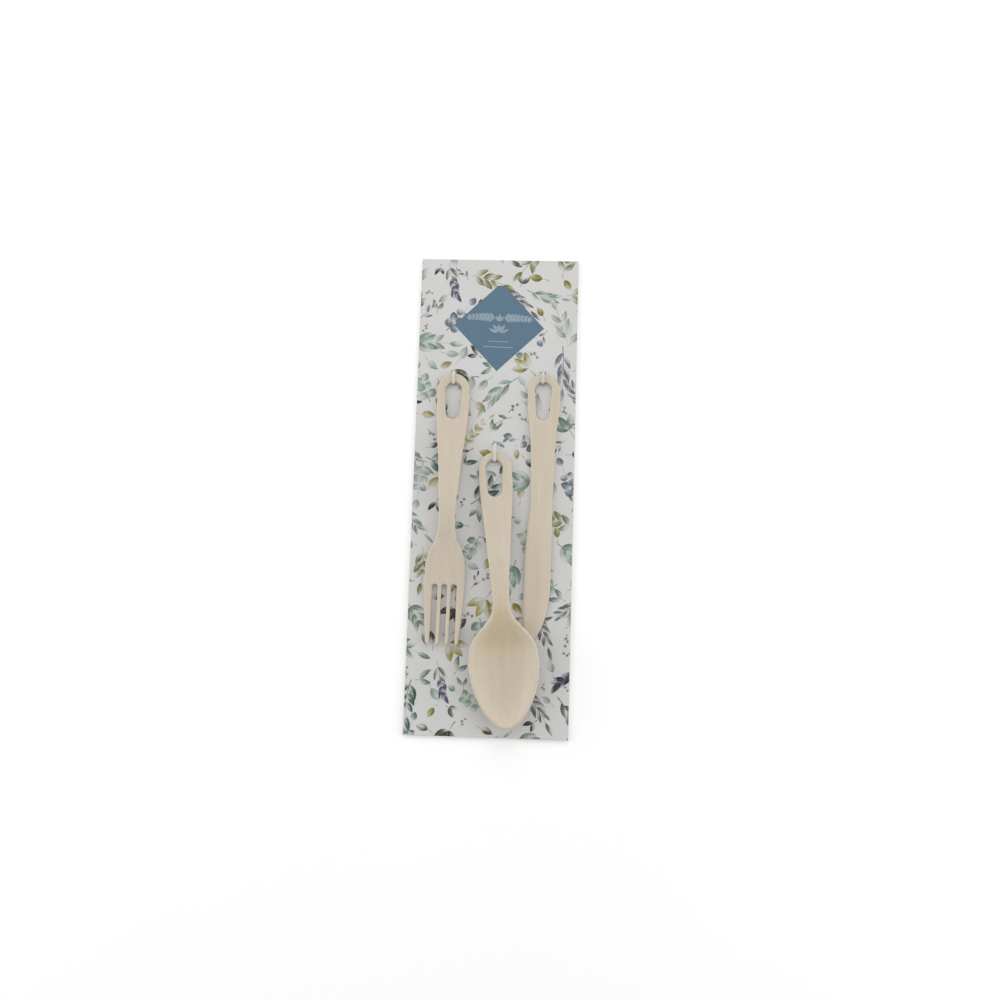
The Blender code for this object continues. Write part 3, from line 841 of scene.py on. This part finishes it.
PALETTE = {
    "sage": srgb(118, 138, 122),
    "mint": srgb(136, 158, 144),
    "deep_green": srgb(64, 96, 84),
    "blue_grey": srgb(112, 124, 134),
    "olive": srgb(152, 144, 62),
    "moss": srgb(132, 134, 84),
    "straw": srgb(176, 166, 104),
    "bark": srgb(74, 68, 46),
    "slate": srgb(98, 102, 96),
    "navy": srgb(34, 34, 52),
    "violet": srgb(78, 78, 104),
    "mist": srgb(158, 166, 160),
}


class Sprig:
    """Leaves and stems laid flat in one mesh, each a little above the last."""

    def __init__(self, tint, seed):
        self.tint = tint
        self.random = random.Random(seed)
        self.points, self.faces, self.leaf, self.tints = [], [], [], []
        self.level = 0

    def ribbon(self, middles, halves, wash, tint):
        """Three rows of points along middles, with the given half widths."""
        base = len(self.points)
        z = self.level * LEAF_STEP
        self.level += 1
        flip = self.random.choice((-1.0, 1.0))
        upside = self.random.random() < 0.5
        count = len(middles)
        ahead = np.gradient(middles, axis=0)
        ahead /= np.linalg.norm(ahead, axis=1)[:, None]
        out = np.column_stack([-ahead[:, 1], ahead[:, 0]])
        for i in range(count):
            for across in (-1.0, 0.0, 1.0):
                x, y = middles[i] + out[i] * halves[i] * across
                self.points.append((x, y, z))
                along = i / (count - 1)
                self.leaf.append((1.0 - along if upside else along, across * flip, wash))
                self.tints.append((*tint, 1.0))
        for i in range(count - 1):
            for j in range(2):
                a = base + 3 * i + j
                self.faces.append((a, a + 3, a + 4, a + 1)[::-1])

    def bent_line(self, start, angles, length):
        """Points from start along a line that follows the angles, given in radians."""
        step = length / (len(angles) - 1)
        moves = np.column_stack([np.cos(angles), np.sin(angles)])[:-1] * step
        return np.array(start) + np.vstack([[0.0, 0.0], np.cumsum(moves, axis=0)])

    def leaf_shape(self, start, heading, length, width, bend=0.3, fullness=0.8, tint=None):
        """One leaf from its base point; heading is in degrees and bend in radians."""
        t = np.linspace(0.0, 1.0, LEAF_POINTS)
        middles = self.bent_line(start, math.radians(heading) + bend * (t - 0.2), length)
        halves = width / 2 * np.sin(math.pi * t ** fullness) ** 0.85
        shade = self.random.uniform(0.82, 1.12)
        self.ribbon(middles, halves, self.random.uniform(-0.2, 0.2), dimmed(tint or self.tint, shade))

    def stem(self, start, heading, length, width, bend):
        """A thin curved stem; returns its middle points and headings."""
        t = np.linspace(0.0, 1.0, STEM_POINTS)
        angles = math.radians(heading) + bend * t
        middles = self.bent_line(start, angles, length)
        self.ribbon(middles, width / 2 * (1.0 - 0.6 * t), 0.1, self.tint)
        return middles, np.degrees(angles)

    def paired(self, length, pairs, leaf_length, leaf_width, spread, fullness, alternate=False):
        """A stem with leaves up both sides, growing smaller towards the tip, and one at its end."""
        bend = self.random.uniform(-0.6, 0.6)
        middles, headings = self.stem((0.0, -length / 2), 90.0 - math.degrees(bend) / 2, length, 0.55, bend)
        for i in range(pairs):
            share = 0.22 + 0.70 * i / pairs
            size = 1.0 - 0.45 * share
            for side in (-1, 1):
                place = share + (0.35 / pairs if alternate and side > 0 else 0.0)
                k = min(int(place * (len(middles) - 1)), len(middles) - 1)
                jitter = self.random.uniform(-7.0, 7.0)
                scale = size * self.random.uniform(0.88, 1.1)
                self.leaf_shape(middles[k], headings[k] + side * spread + jitter, leaf_length * scale,
                                leaf_width * scale, -side * 0.45, fullness)
        self.leaf_shape(middles[-1], headings[-1], leaf_length * 0.75, leaf_width * 0.7, 0.1, fullness)

    def to_object(self, name, collection):
        """The sprig as an object in a collection that nothing renders."""
        mesh = make_mesh(name, self.points, self.faces)
        leaf = mesh.attributes.new("leaf", "FLOAT_VECTOR", "POINT")
        leaf.data.foreach_set("vector", np.array(self.leaf, np.float32).ravel())
        tint = mesh.attributes.new("tint", "FLOAT_COLOR", "POINT")
        tint.data.foreach_set("color", np.array(self.tints, np.float32).ravel())
        collection.objects.link(bpy.data.objects.new(name, mesh))


def paired_sprig(*shape):
    """A maker of sprigs with leaves up both sides; shape is what Sprig.paired takes."""
    def make(tint, seed):
        sprig = Sprig(PALETTE[tint], seed)
        sprig.paired(*shape)
        return sprig

    return make


def bud_spike(tint, seed):
    """A stem with small buds crowded round its upper half."""
    sprig = Sprig(PALETTE["slate"], seed)
    middles, headings = sprig.stem((0.0, -13.0), 90.0, 26.0, 0.5, sprig.random.uniform(-0.3, 0.3))
    for i in range(11):
        k = int((0.45 + 0.05 * i) * (len(middles) - 1))
        side = -1 if i % 2 else 1
        heading = headings[k] + side * sprig.random.uniform(18.0, 34.0)
        tone = PALETTE[tint] if i % 3 else PALETTE["violet"]
        sprig.leaf_shape(middles[k], heading, sprig.random.uniform(5.4, 7.4), 3.0, 0.1 * side, 0.8, tone)
    for side in (-1, 1):
        sprig.leaf_shape(middles[2], headings[2] + side * 30.0, 10.0, 2.6, -0.3 * side, 0.9)
    return sprig


def trio(tint, seed):
    """Three broad leaves from one stem."""
    sprig = Sprig(PALETTE[tint], seed)
    middles, headings = sprig.stem((0.0, -9.0), 90.0, 8.0, 0.6, 0.3)
    for turn in (-46.0, 44.0, 2.0):
        sprig.leaf_shape(middles[-1], headings[-1] + turn, 12.0, 5.2, -turn / 130.0, 0.85)
    return sprig


def lone_leaf(tint, seed):
    """One leaf on a short stalk."""
    sprig = Sprig(PALETTE[tint], seed)
    middles, headings = sprig.stem((0.0, -5.5), 90.0, 4.0, 0.45, 0.4)
    sprig.leaf_shape(middles[-1], headings[-1], 8.5, 4.6, sprig.random.uniform(-0.4, 0.4), 0.85)
    return sprig


def twin_leaf(tint, seed):
    """Two leaves that part like a V."""
    sprig = Sprig(PALETTE[tint], seed)
    middles, headings = sprig.stem((0.0, -4.5), 90.0, 3.0, 0.45, 0.2)
    for side in (-1, 1):
        length = sprig.random.uniform(6.0, 9.0)
        sprig.leaf_shape(middles[-1], headings[-1] + side * 36.0, length, 3.0, -0.6 * side, 0.85)
    return sprig


def twig(tint, seed):
    """A bare twig with a few narrow leaves."""
    sprig = Sprig(PALETTE[tint], seed)
    middles, headings = sprig.stem((0.0, -5.0), 90.0, 10.0, 0.4, 0.5)
    for k, side in ((4, -1), (8, 1), (13, 0)):
        sprig.leaf_shape(middles[k], headings[k] + side * 38.0, 5.6, 1.9, -0.3 * side, 0.9)
    return sprig


def berries(tint, seed):
    """A short stem with round berries."""
    sprig = Sprig(PALETTE[tint], seed)
    middles, headings = sprig.stem((0.0, -3.5), 90.0, 6.0, 0.4, -0.5)
    for k, side in ((5, -1), (8, 1), (13, 0)):
        sprig.leaf_shape(middles[k], headings[k] + side * 50.0, 2.1, 1.9, 0.0, 1.0)
    return sprig


# Length, pairs of leaves, their length and width, their spread in degrees, and their fullness
laurel = paired_sprig(25.0, 3, 12.5, 5.0, 40.0, 0.85)
willow = paired_sprig(27.0, 4, 12.0, 3.2, 30.0, 0.9, True)
coin_leaf = paired_sprig(23.0, 3, 8.0, 6.4, 58.0, 0.9)
fern = paired_sprig(25.0, 6, 6.4, 2.4, 48.0, 0.8)

LARGE_SPRIGS = (
    (laurel, ("sage", "deep_green", "mint", "moss", "mist")),
    (willow, ("mint", "blue_grey", "slate", "sage")),
    (coin_leaf, ("blue_grey", "mist", "mint")),
    (fern, ("moss", "straw")),
    (bud_spike, ("navy", "navy", "violet")),
    (trio, ("olive", "sage", "bark")),
)
SMALL_SPRIGS = (
    (lone_leaf, ("deep_green", "olive", "bark", "mint", "mist", "straw")),
    (twin_leaf, ("slate", "moss", "sage", "navy")),
    (twig, ("slate", "bark", "blue_grey")),
    (berries, ("moss", "slate", "deep_green")),
)


def make_sprigs(name, kinds):
    """A collection of sprigs to scatter from."""
    collection = bpy.data.collections.new(name)
    seed = 1
    for maker, tints in kinds:
        for tint in tints:
            maker(tint, seed).to_object(f"{name}_{seed:02d}", collection)
            seed += 1
    return collection


def start_geometry_tree(name, kinds):
    """A Geometry Nodes tree with inputs named in kinds, and the outputs that give their values."""
    tree = bpy.data.node_groups.new(name, "GeometryNodeTree")
    for label, kind in kinds.items():
        tree.interface.new_socket(name=label, in_out="INPUT", socket_type="NodeSocket" + kind)
    tree.interface.new_socket(name="Geometry", in_out="OUTPUT", socket_type="NodeSocketGeometry")
    return tree, tree.nodes.new("NodeGroupInput").outputs


def random_number(tree, kind, low, high, seed):
    """A random value for each element, from low to high; the seed may be a socket."""
    node = add_node(tree, "FunctionNodeRandomValue", {"data_type": kind}, {"Seed": seed})
    enabled = {socket.name: socket for socket in node.inputs if socket.enabled}
    enabled["Min"].default_value = low
    enabled["Max"].default_value = high
    return next(socket for socket in node.outputs if socket.enabled)


def scatter(tree, points, sprigs, count, seed, sizes):
    """Sprigs from a collection set on points, turned and scaled at random, and realised."""
    info = add_node(tree, "GeometryNodeCollectionInfo", None,
                    {"Collection": sprigs, "Separate Children": True, "Reset Children": False})
    turn = random_number(tree, "FLOAT_VECTOR", (0.0, 0.0, 0.0), (0.0, 0.0, 2 * math.pi), seed)
    size = random_number(tree, "FLOAT", *sizes, seed)
    pick = random_number(tree, "INT", 0, count - 1, seed)
    lift = add_node(tree, "ShaderNodeCombineXYZ", None,
                    {"Z": random_number(tree, "FLOAT", 0.0, PRINT_LEVEL * MM, seed)})
    raised = add_node(tree, "GeometryNodeSetPosition", None,
                      {"Geometry": points, "Offset": lift.outputs[0]})
    placed = add_node(tree, "GeometryNodeInstanceOnPoints", None,
                      {"Points": raised.outputs["Geometry"], "Instance": info.outputs["Instances"],
                       "Pick Instance": True, "Instance Index": pick, "Rotation": turn, "Scale": size})
    real = add_node(tree, "GeometryNodeRealizeInstances", None,
                    {"Geometry": placed.outputs["Instances"]})
    return real.outputs["Geometry"]


def even_points(tree, given, spacing, most):
    """Points on the ground at no less than a spacing, from at most so many to the square metre."""
    node = add_node(tree, "GeometryNodeDistributePointsOnFaces", {"distribute_method": "POISSON"},
                    {"Mesh": given["Geometry"], "Distance Min": given[spacing], "Density Max": most,
                     "Seed": given["Seed"]})
    return node.outputs["Points"]


def scatter_tree(large_count, small_count):
    """Geometry Nodes that print large sprigs at even distances, and small ones in between."""
    tree, given = start_geometry_tree("leaf_print", {
        "Geometry": "Geometry", "Large Sprigs": "Collection", "Small Sprigs": "Collection",
        "Large Spacing": "Float", "Small Spacing": "Float", "Clearance": "Float", "Seed": "Int",
        "Ink": "Material"})
    large = scatter(tree, even_points(tree, given, "Large Spacing", LARGE_MOST),
                    given["Large Sprigs"], large_count, given["Seed"], LARGE_SIZES)
    near = add_node(tree, "GeometryNodeProximity", {"target_element": "FACES"}, {0: large})
    crowded = add_node(tree, "FunctionNodeCompare", {"data_type": "FLOAT", "operation": "LESS_THAN"},
                       {0: near.outputs["Distance"], 1: given["Clearance"]})
    thinned = add_node(tree, "GeometryNodeDeleteGeometry", {"domain": "POINT"},
                       {"Geometry": even_points(tree, given, "Small Spacing", SMALL_MOST),
                        "Selection": crowded.outputs[0]})
    small = scatter(tree, thinned.outputs["Geometry"], given["Small Sprigs"], small_count,
                    given["Seed"], SMALL_SIZES)
    joined = add_node(tree, "GeometryNodeJoinGeometry")
    tree.links.new(large, joined.inputs[0])
    tree.links.new(small, joined.inputs[0])
    inked = add_node(tree, "GeometryNodeSetMaterial", None,
                     {"Geometry": joined.outputs[0], "Material": given["Ink"]})
    tree.links.new(inked.outputs["Geometry"], tree.nodes.new("NodeGroupOutput").inputs[0])
    return tree


def grow_piece(name, carrier, tree, values):
    """A plain object with the mesh that a tree makes of a carrier, which is then removed.

    Values give the tree's inputs by name.
    """
    modifier = carrier.modifiers.new(tree.name, "NODES")
    modifier.node_group = tree
    for item in tree.interface.items_tree:
        if item.item_type == "SOCKET" and item.in_out == "INPUT" and item.name in values:
            modifier[item.identifier] = values[item.name]
    bpy.context.view_layer.update()
    depsgraph = bpy.context.evaluated_depsgraph_get()
    mesh = bpy.data.meshes.new_from_object(carrier.evaluated_get(depsgraph), depsgraph=depsgraph)
    mesh.name = name
    bpy.data.objects.remove(carrier)
    return add_object(name, mesh)


def faces_near(faces, x, y, reach_x, reach_y):
    """The faces whose middles are nearer to a place than the reach each way."""
    near = []
    for face in faces:
        middle = face.calc_center_median()
        if abs(middle.x / MM - x) < reach_x and abs(middle.y / MM - y) < reach_y:
            near.append(face)
    return near


def trim_to_card(mesh):
    """Cut a flat mesh off at the card's edges and take it away over the slits."""
    data = bmesh.new()
    data.from_mesh(mesh)
    cuts = (((CARD_LOW.x + CARD_EDGE, 0, 0), (-1, 0, 0)), ((CARD_HIGH.x - CARD_EDGE, 0, 0), (1, 0, 0)),
            ((0, CARD_LOW.y + CARD_EDGE, 0), (0, -1, 0)), ((0, CARD_HIGH.y - CARD_EDGE, 0), (0, 1, 0)))
    for point, outward in cuts:
        everything = data.verts[:] + data.edges[:] + data.faces[:]
        bmesh.ops.bisect_plane(data, geom=everything, dist=1e-8, plane_co=Vector(point) * MM,
                               plane_no=outward, clear_outer=True)
    half_width, half_height = SLIT_WIDTH / 2 + SLIT_CLEAR, SLIT_HEIGHT / 2 + SLIT_CLEAR
    for x, y in slit_places():
        near = faces_near(data.faces, x, y, SLIT_REACH, SLIT_REACH)
        for point, outward in (((x - half_width, y, 0), (1, 0, 0)), ((x + half_width, y, 0), (1, 0, 0)),
                               ((x, y - half_height, 0), (0, 1, 0)), ((x, y + half_height, 0), (0, 1, 0))):
            geometry = list({v for f in near for v in f.verts} | {e for f in near for e in f.edges}) + near
            cut = bmesh.ops.bisect_plane(data, geom=geometry, dist=1e-8, plane_co=Vector(point) * MM,
                                         plane_no=outward)
            near = [g for g in cut["geom"] if isinstance(g, bmesh.types.BMFace)]
        bmesh.ops.delete(data, geom=faces_near(near, x, y, half_width, half_height), context="FACES")
    data.to_mesh(mesh)
    data.free()


def make_leaf_print():
    """Sprigs scattered over the whole face of the card."""
    large = make_sprigs("large_sprig", LARGE_SPRIGS)
    small = make_sprigs("small_sprig", SMALL_SPRIGS)
    low_x, high_x = CARD_LOW.x - PRINT_BLEED, CARD_HIGH.x + PRINT_BLEED
    low_y, high_y = CARD_LOW.y - PRINT_BLEED, CARD_HIGH.y + PRINT_BLEED
    z = CARD_HIGH.z + PRINT_LEVEL
    corners = [(low_x, low_y, z), (high_x, low_y, z), (high_x, high_y, z), (low_x, high_y, z)]
    ground = add_object("print_ground", make_mesh("print_ground", corners, [(0, 1, 2, 3)]))
    piece = grow_piece("leaf_print", ground, scatter_tree(len(large.objects), len(small.objects)), {
        "Large Sprigs": large, "Small Sprigs": small, "Large Spacing": LARGE_SPACING * MM,
        "Small Spacing": SMALL_SPACING * MM, "Clearance": SPRIG_CLEARANCE * MM, "Seed": PRINT_SEED,
        "Ink": leaf_ink()})
    trim_to_card(piece.data)
    for collection in (large, small):
        for sprig in list(collection.objects):
            bpy.data.objects.remove(sprig)
        bpy.data.collections.remove(collection)
    finish_piece(piece, "printed_card")


# ---- label

def on_label(points, level):
    """Points given from the label's middle, turned with it and set above the card."""
    turn = math.radians(LABEL_TURN)
    x = LABEL_CENTRE[0] + points[:, 0] * math.cos(turn) - points[:, 1] * math.sin(turn)
    y = LABEL_CENTRE[1] + points[:, 0] * math.sin(turn) + points[:, 1] * math.cos(turn)
    return np.column_stack([x, y, np.full(len(points), CARD_HIGH.z + level)])


def add_print(name, points, faces, material):
    """A flat field of print on the card."""
    mesh = make_mesh(name, points, faces)
    mesh.shade_smooth()
    mesh.materials.append(material)
    finish_piece(add_object(name, mesh), "printed_card")


def make_label():
    """The blue diamond, with its top corner cut off."""
    cut = LABEL_TOP_CUT
    top = LABEL_HALF_HEIGHT * (1 - cut / LABEL_HALF_WIDTH)
    corners = np.array([(-cut, top), (-LABEL_HALF_WIDTH, 0.0), (0.0, -LABEL_HALF_HEIGHT),
                        (LABEL_HALF_WIDTH, 0.0), (cut, top)])
    extra = face_grid([corners], LABEL_SPACING)
    add_print("label_diamond", on_label(np.vstack([corners, extra]), LABEL_LEVEL),
              fill_face([corners], extra), label_ink("label_blue", srgb(88, 117, 135), srgb(83, 112, 132)))


def make_ornament():
    """A pale garland with a bud in its middle, and fine rules under it."""
    garland = Sprig(PALETTE["mist"], 50)
    for side in (-1, 1):
        heading = 90.0 - side * 84.0
        middles, headings = garland.stem((side * 2.4, 5.6), heading, 15.5, 0.6, side * -0.22)
        for k in range(1, len(middles), 2):
            for turn in (-42.0, 42.0):
                garland.leaf_shape(middles[k], headings[k] + turn, 4.6 - 0.14 * k, 1.7, 0.0, 0.85)
        garland.leaf_shape(middles[-1], headings[-1], 3.6, 1.4, 0.0, 0.85)
        garland.leaf_shape((side * 0.4, -3.4), 90.0 - side * 34.0, 6.0, 2.2, side * -0.4, 0.85)
        garland.leaf_shape((side * 0.6, -3.8), 90.0 - side * 72.0, 6.4, 1.9, side * 0.3, 0.85)
    for turn, length in ((0.0, 5.0), (38.0, 4.0), (-38.0, 4.0)):
        garland.leaf_shape((0.0, 3.6), 90.0 + turn, length, 2.0, 0.0, 0.85)
    garland.leaf_shape((0.0, -3.4), 90.0, 5.2, 2.0, 0.0, 0.85)
    for y, half in ((-9.8, 6.5), (-13.4, 9.5)):
        middles = np.column_stack([np.linspace(-half, half, 9), np.full(9, y)])
        garland.ribbon(middles, np.full(9, 0.28), 0.0, PALETTE["mist"])
    flat = np.array(garland.points)
    points = on_label(flat[:, :2], ORNAMENT_LEVEL)
    points[:, 2] += flat[:, 2]
    add_print("label_garland", points, garland.faces,
              label_ink("label_pale", srgb(146, 164, 176), srgb(136, 155, 168)))


# ---- ties

def round_corners(corners, radius, steps):
    """A closed path through corners, each replaced by an arc of the given radius."""
    path = []
    count = len(corners)
    for i in range(count):
        corner = Vector(corners[i])
        back = (Vector(corners[i - 1]) - corner).normalized()
        ahead = (Vector(corners[(i + 1) % count]) - corner).normalized()
        half = back.angle(ahead) / 2
        centre = corner + (back + ahead).normalized() * radius / math.sin(half)
        first = (corner + back * radius / math.tan(half) - centre).normalized()
        last = (corner + ahead * radius / math.tan(half) - centre).normalized()
        for t in np.linspace(0.0, 1.0, steps):
            path.append(centre + first.slerp(last, t) * radius)
    return path


def strip_tree():
    """Geometry Nodes that sweep a flat rounded strip along a closed path."""
    tree, given = start_geometry_tree("tie_strip", {
        "Path": "Geometry", "Width": "Float", "Thickness": "Float", "Corner": "Float",
        "Strip": "Material"})
    section = add_node(tree, "GeometryNodeCurvePrimitiveQuadrilateral", {"mode": "RECTANGLE"},
                       {"Width": given["Width"], "Height": given["Thickness"]})
    rounded = add_node(tree, "GeometryNodeFilletCurve", {"mode": "POLY"},
                       {"Curve": section.outputs[0], "Radius": given["Corner"], "Count": 3})
    swept = add_node(tree, "GeometryNodeCurveToMesh", None,
                     {"Curve": given["Path"], "Profile Curve": rounded.outputs[0]})
    smooth = add_node(tree, "GeometryNodeSetShadeSmooth", None, {"Geometry": swept.outputs[0]})
    coloured = add_node(tree, "GeometryNodeSetMaterial", None,
                        {"Geometry": smooth.outputs[0], "Material": given["Strip"]})
    real = add_node(tree, "GeometryNodeRealizeInstances", None, {"Geometry": coloured.outputs[0]})
    tree.links.new(real.outputs[0], tree.nodes.new("NodeGroupOutput").inputs[0])
    return tree


def make_tie(piece, tree, material):
    """A strip through a piece's slot, over its end, into the card and along the card's back."""
    low, high = (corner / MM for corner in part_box(f"{piece}_tie"))
    handle_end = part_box(piece)[1] / MM
    x = (low.x + high.x) / 2
    half = TIE_THICK / 2
    inner, outer = low.y + half, high.y - half
    bottom, over = low.z + half, high.z - half
    entry = CARD_HIGH.z + TIE_BEND + TIE_THICK
    corners = [(inner, bottom), (inner, over), (handle_end.y + TIE_THICK, over), (outer, entry),
               (outer, bottom)]
    path = round_corners(corners, TIE_BEND, TIE_BEND_POINTS)
    curve = bpy.data.curves.new(f"{piece}_strip", "CURVE")
    curve.dimensions = "3D"
    spline = curve.splines.new("POLY")
    spline.points.add(len(path) - 1)
    for point, (y, z) in zip(spline.points, path):
        point.co = (x * MM, y * MM, z * MM, 1.0)
    spline.use_cyclic_u = True
    strip = grow_piece(f"{piece}_strip", add_object("tie_path", curve), tree, {
        "Width": TIE_WIDTH * MM, "Thickness": TIE_THICK * MM, "Corner": TIE_CORNER * MM,
        "Strip": material})
    finish_piece(strip, "tie_strip", f"{piece}_tie")


def make_ties():
    """The three ties."""
    tree = strip_tree()
    material = tie_cream()
    for piece in ("fork", "spoon", "knife"):
        make_tie(piece, tree, material)


# ---- stage, lights and camera

def make_floor():
    """A pale floor, wide enough to fill the view from any side."""
    bpy.ops.mesh.primitive_grid_add(x_subdivisions=8, y_subdivisions=8, size=FLOOR_SIZE)
    floor = bpy.context.object
    floor.name = "floor"
    floor.data.materials.append(floor_white())


def make_lights():
    """Soft boxes high and low on both sides and one past the label end, in pale air."""
    for name, place, size, power in SOFTBOXES:
        light = bpy.data.lights.new(name, "AREA")
        light.shape = "RECTANGLE"
        light.size, light.size_y = size
        light.energy = power
        lamp = add_object(name, light)
        lamp.location = place
        lamp.rotation_euler = (-Vector(place)).to_track_quat("-Z", "Y").to_euler()
    world = bpy.data.worlds.new("pale_air")
    world.use_nodes = True
    background = world.node_tree.nodes["Background"]
    background.inputs["Color"].default_value = (1.0, 1.0, 1.0, 1.0)
    background.inputs["Strength"].default_value = AIR_STRENGTH
    bpy.context.scene.world = world


def make_camera():
    """The view from above, a little below the card's middle."""
    data = bpy.data.cameras.new("camera")
    data.lens = CAMERA_LENS
    data.clip_start = 0.01
    camera = add_object("camera", data)
    camera.location = CAMERA_PLACE
    camera.rotation_euler = [math.radians(a) for a in CAMERA_TURN]
    bpy.context.scene.camera = camera
    bpy.context.scene.view_settings.view_transform = "Standard"


make_camera()
make_lights()
make_floor()
make_card()
make_leaf_print()
make_label()
make_ornament()
make_cutlery()
make_ties()
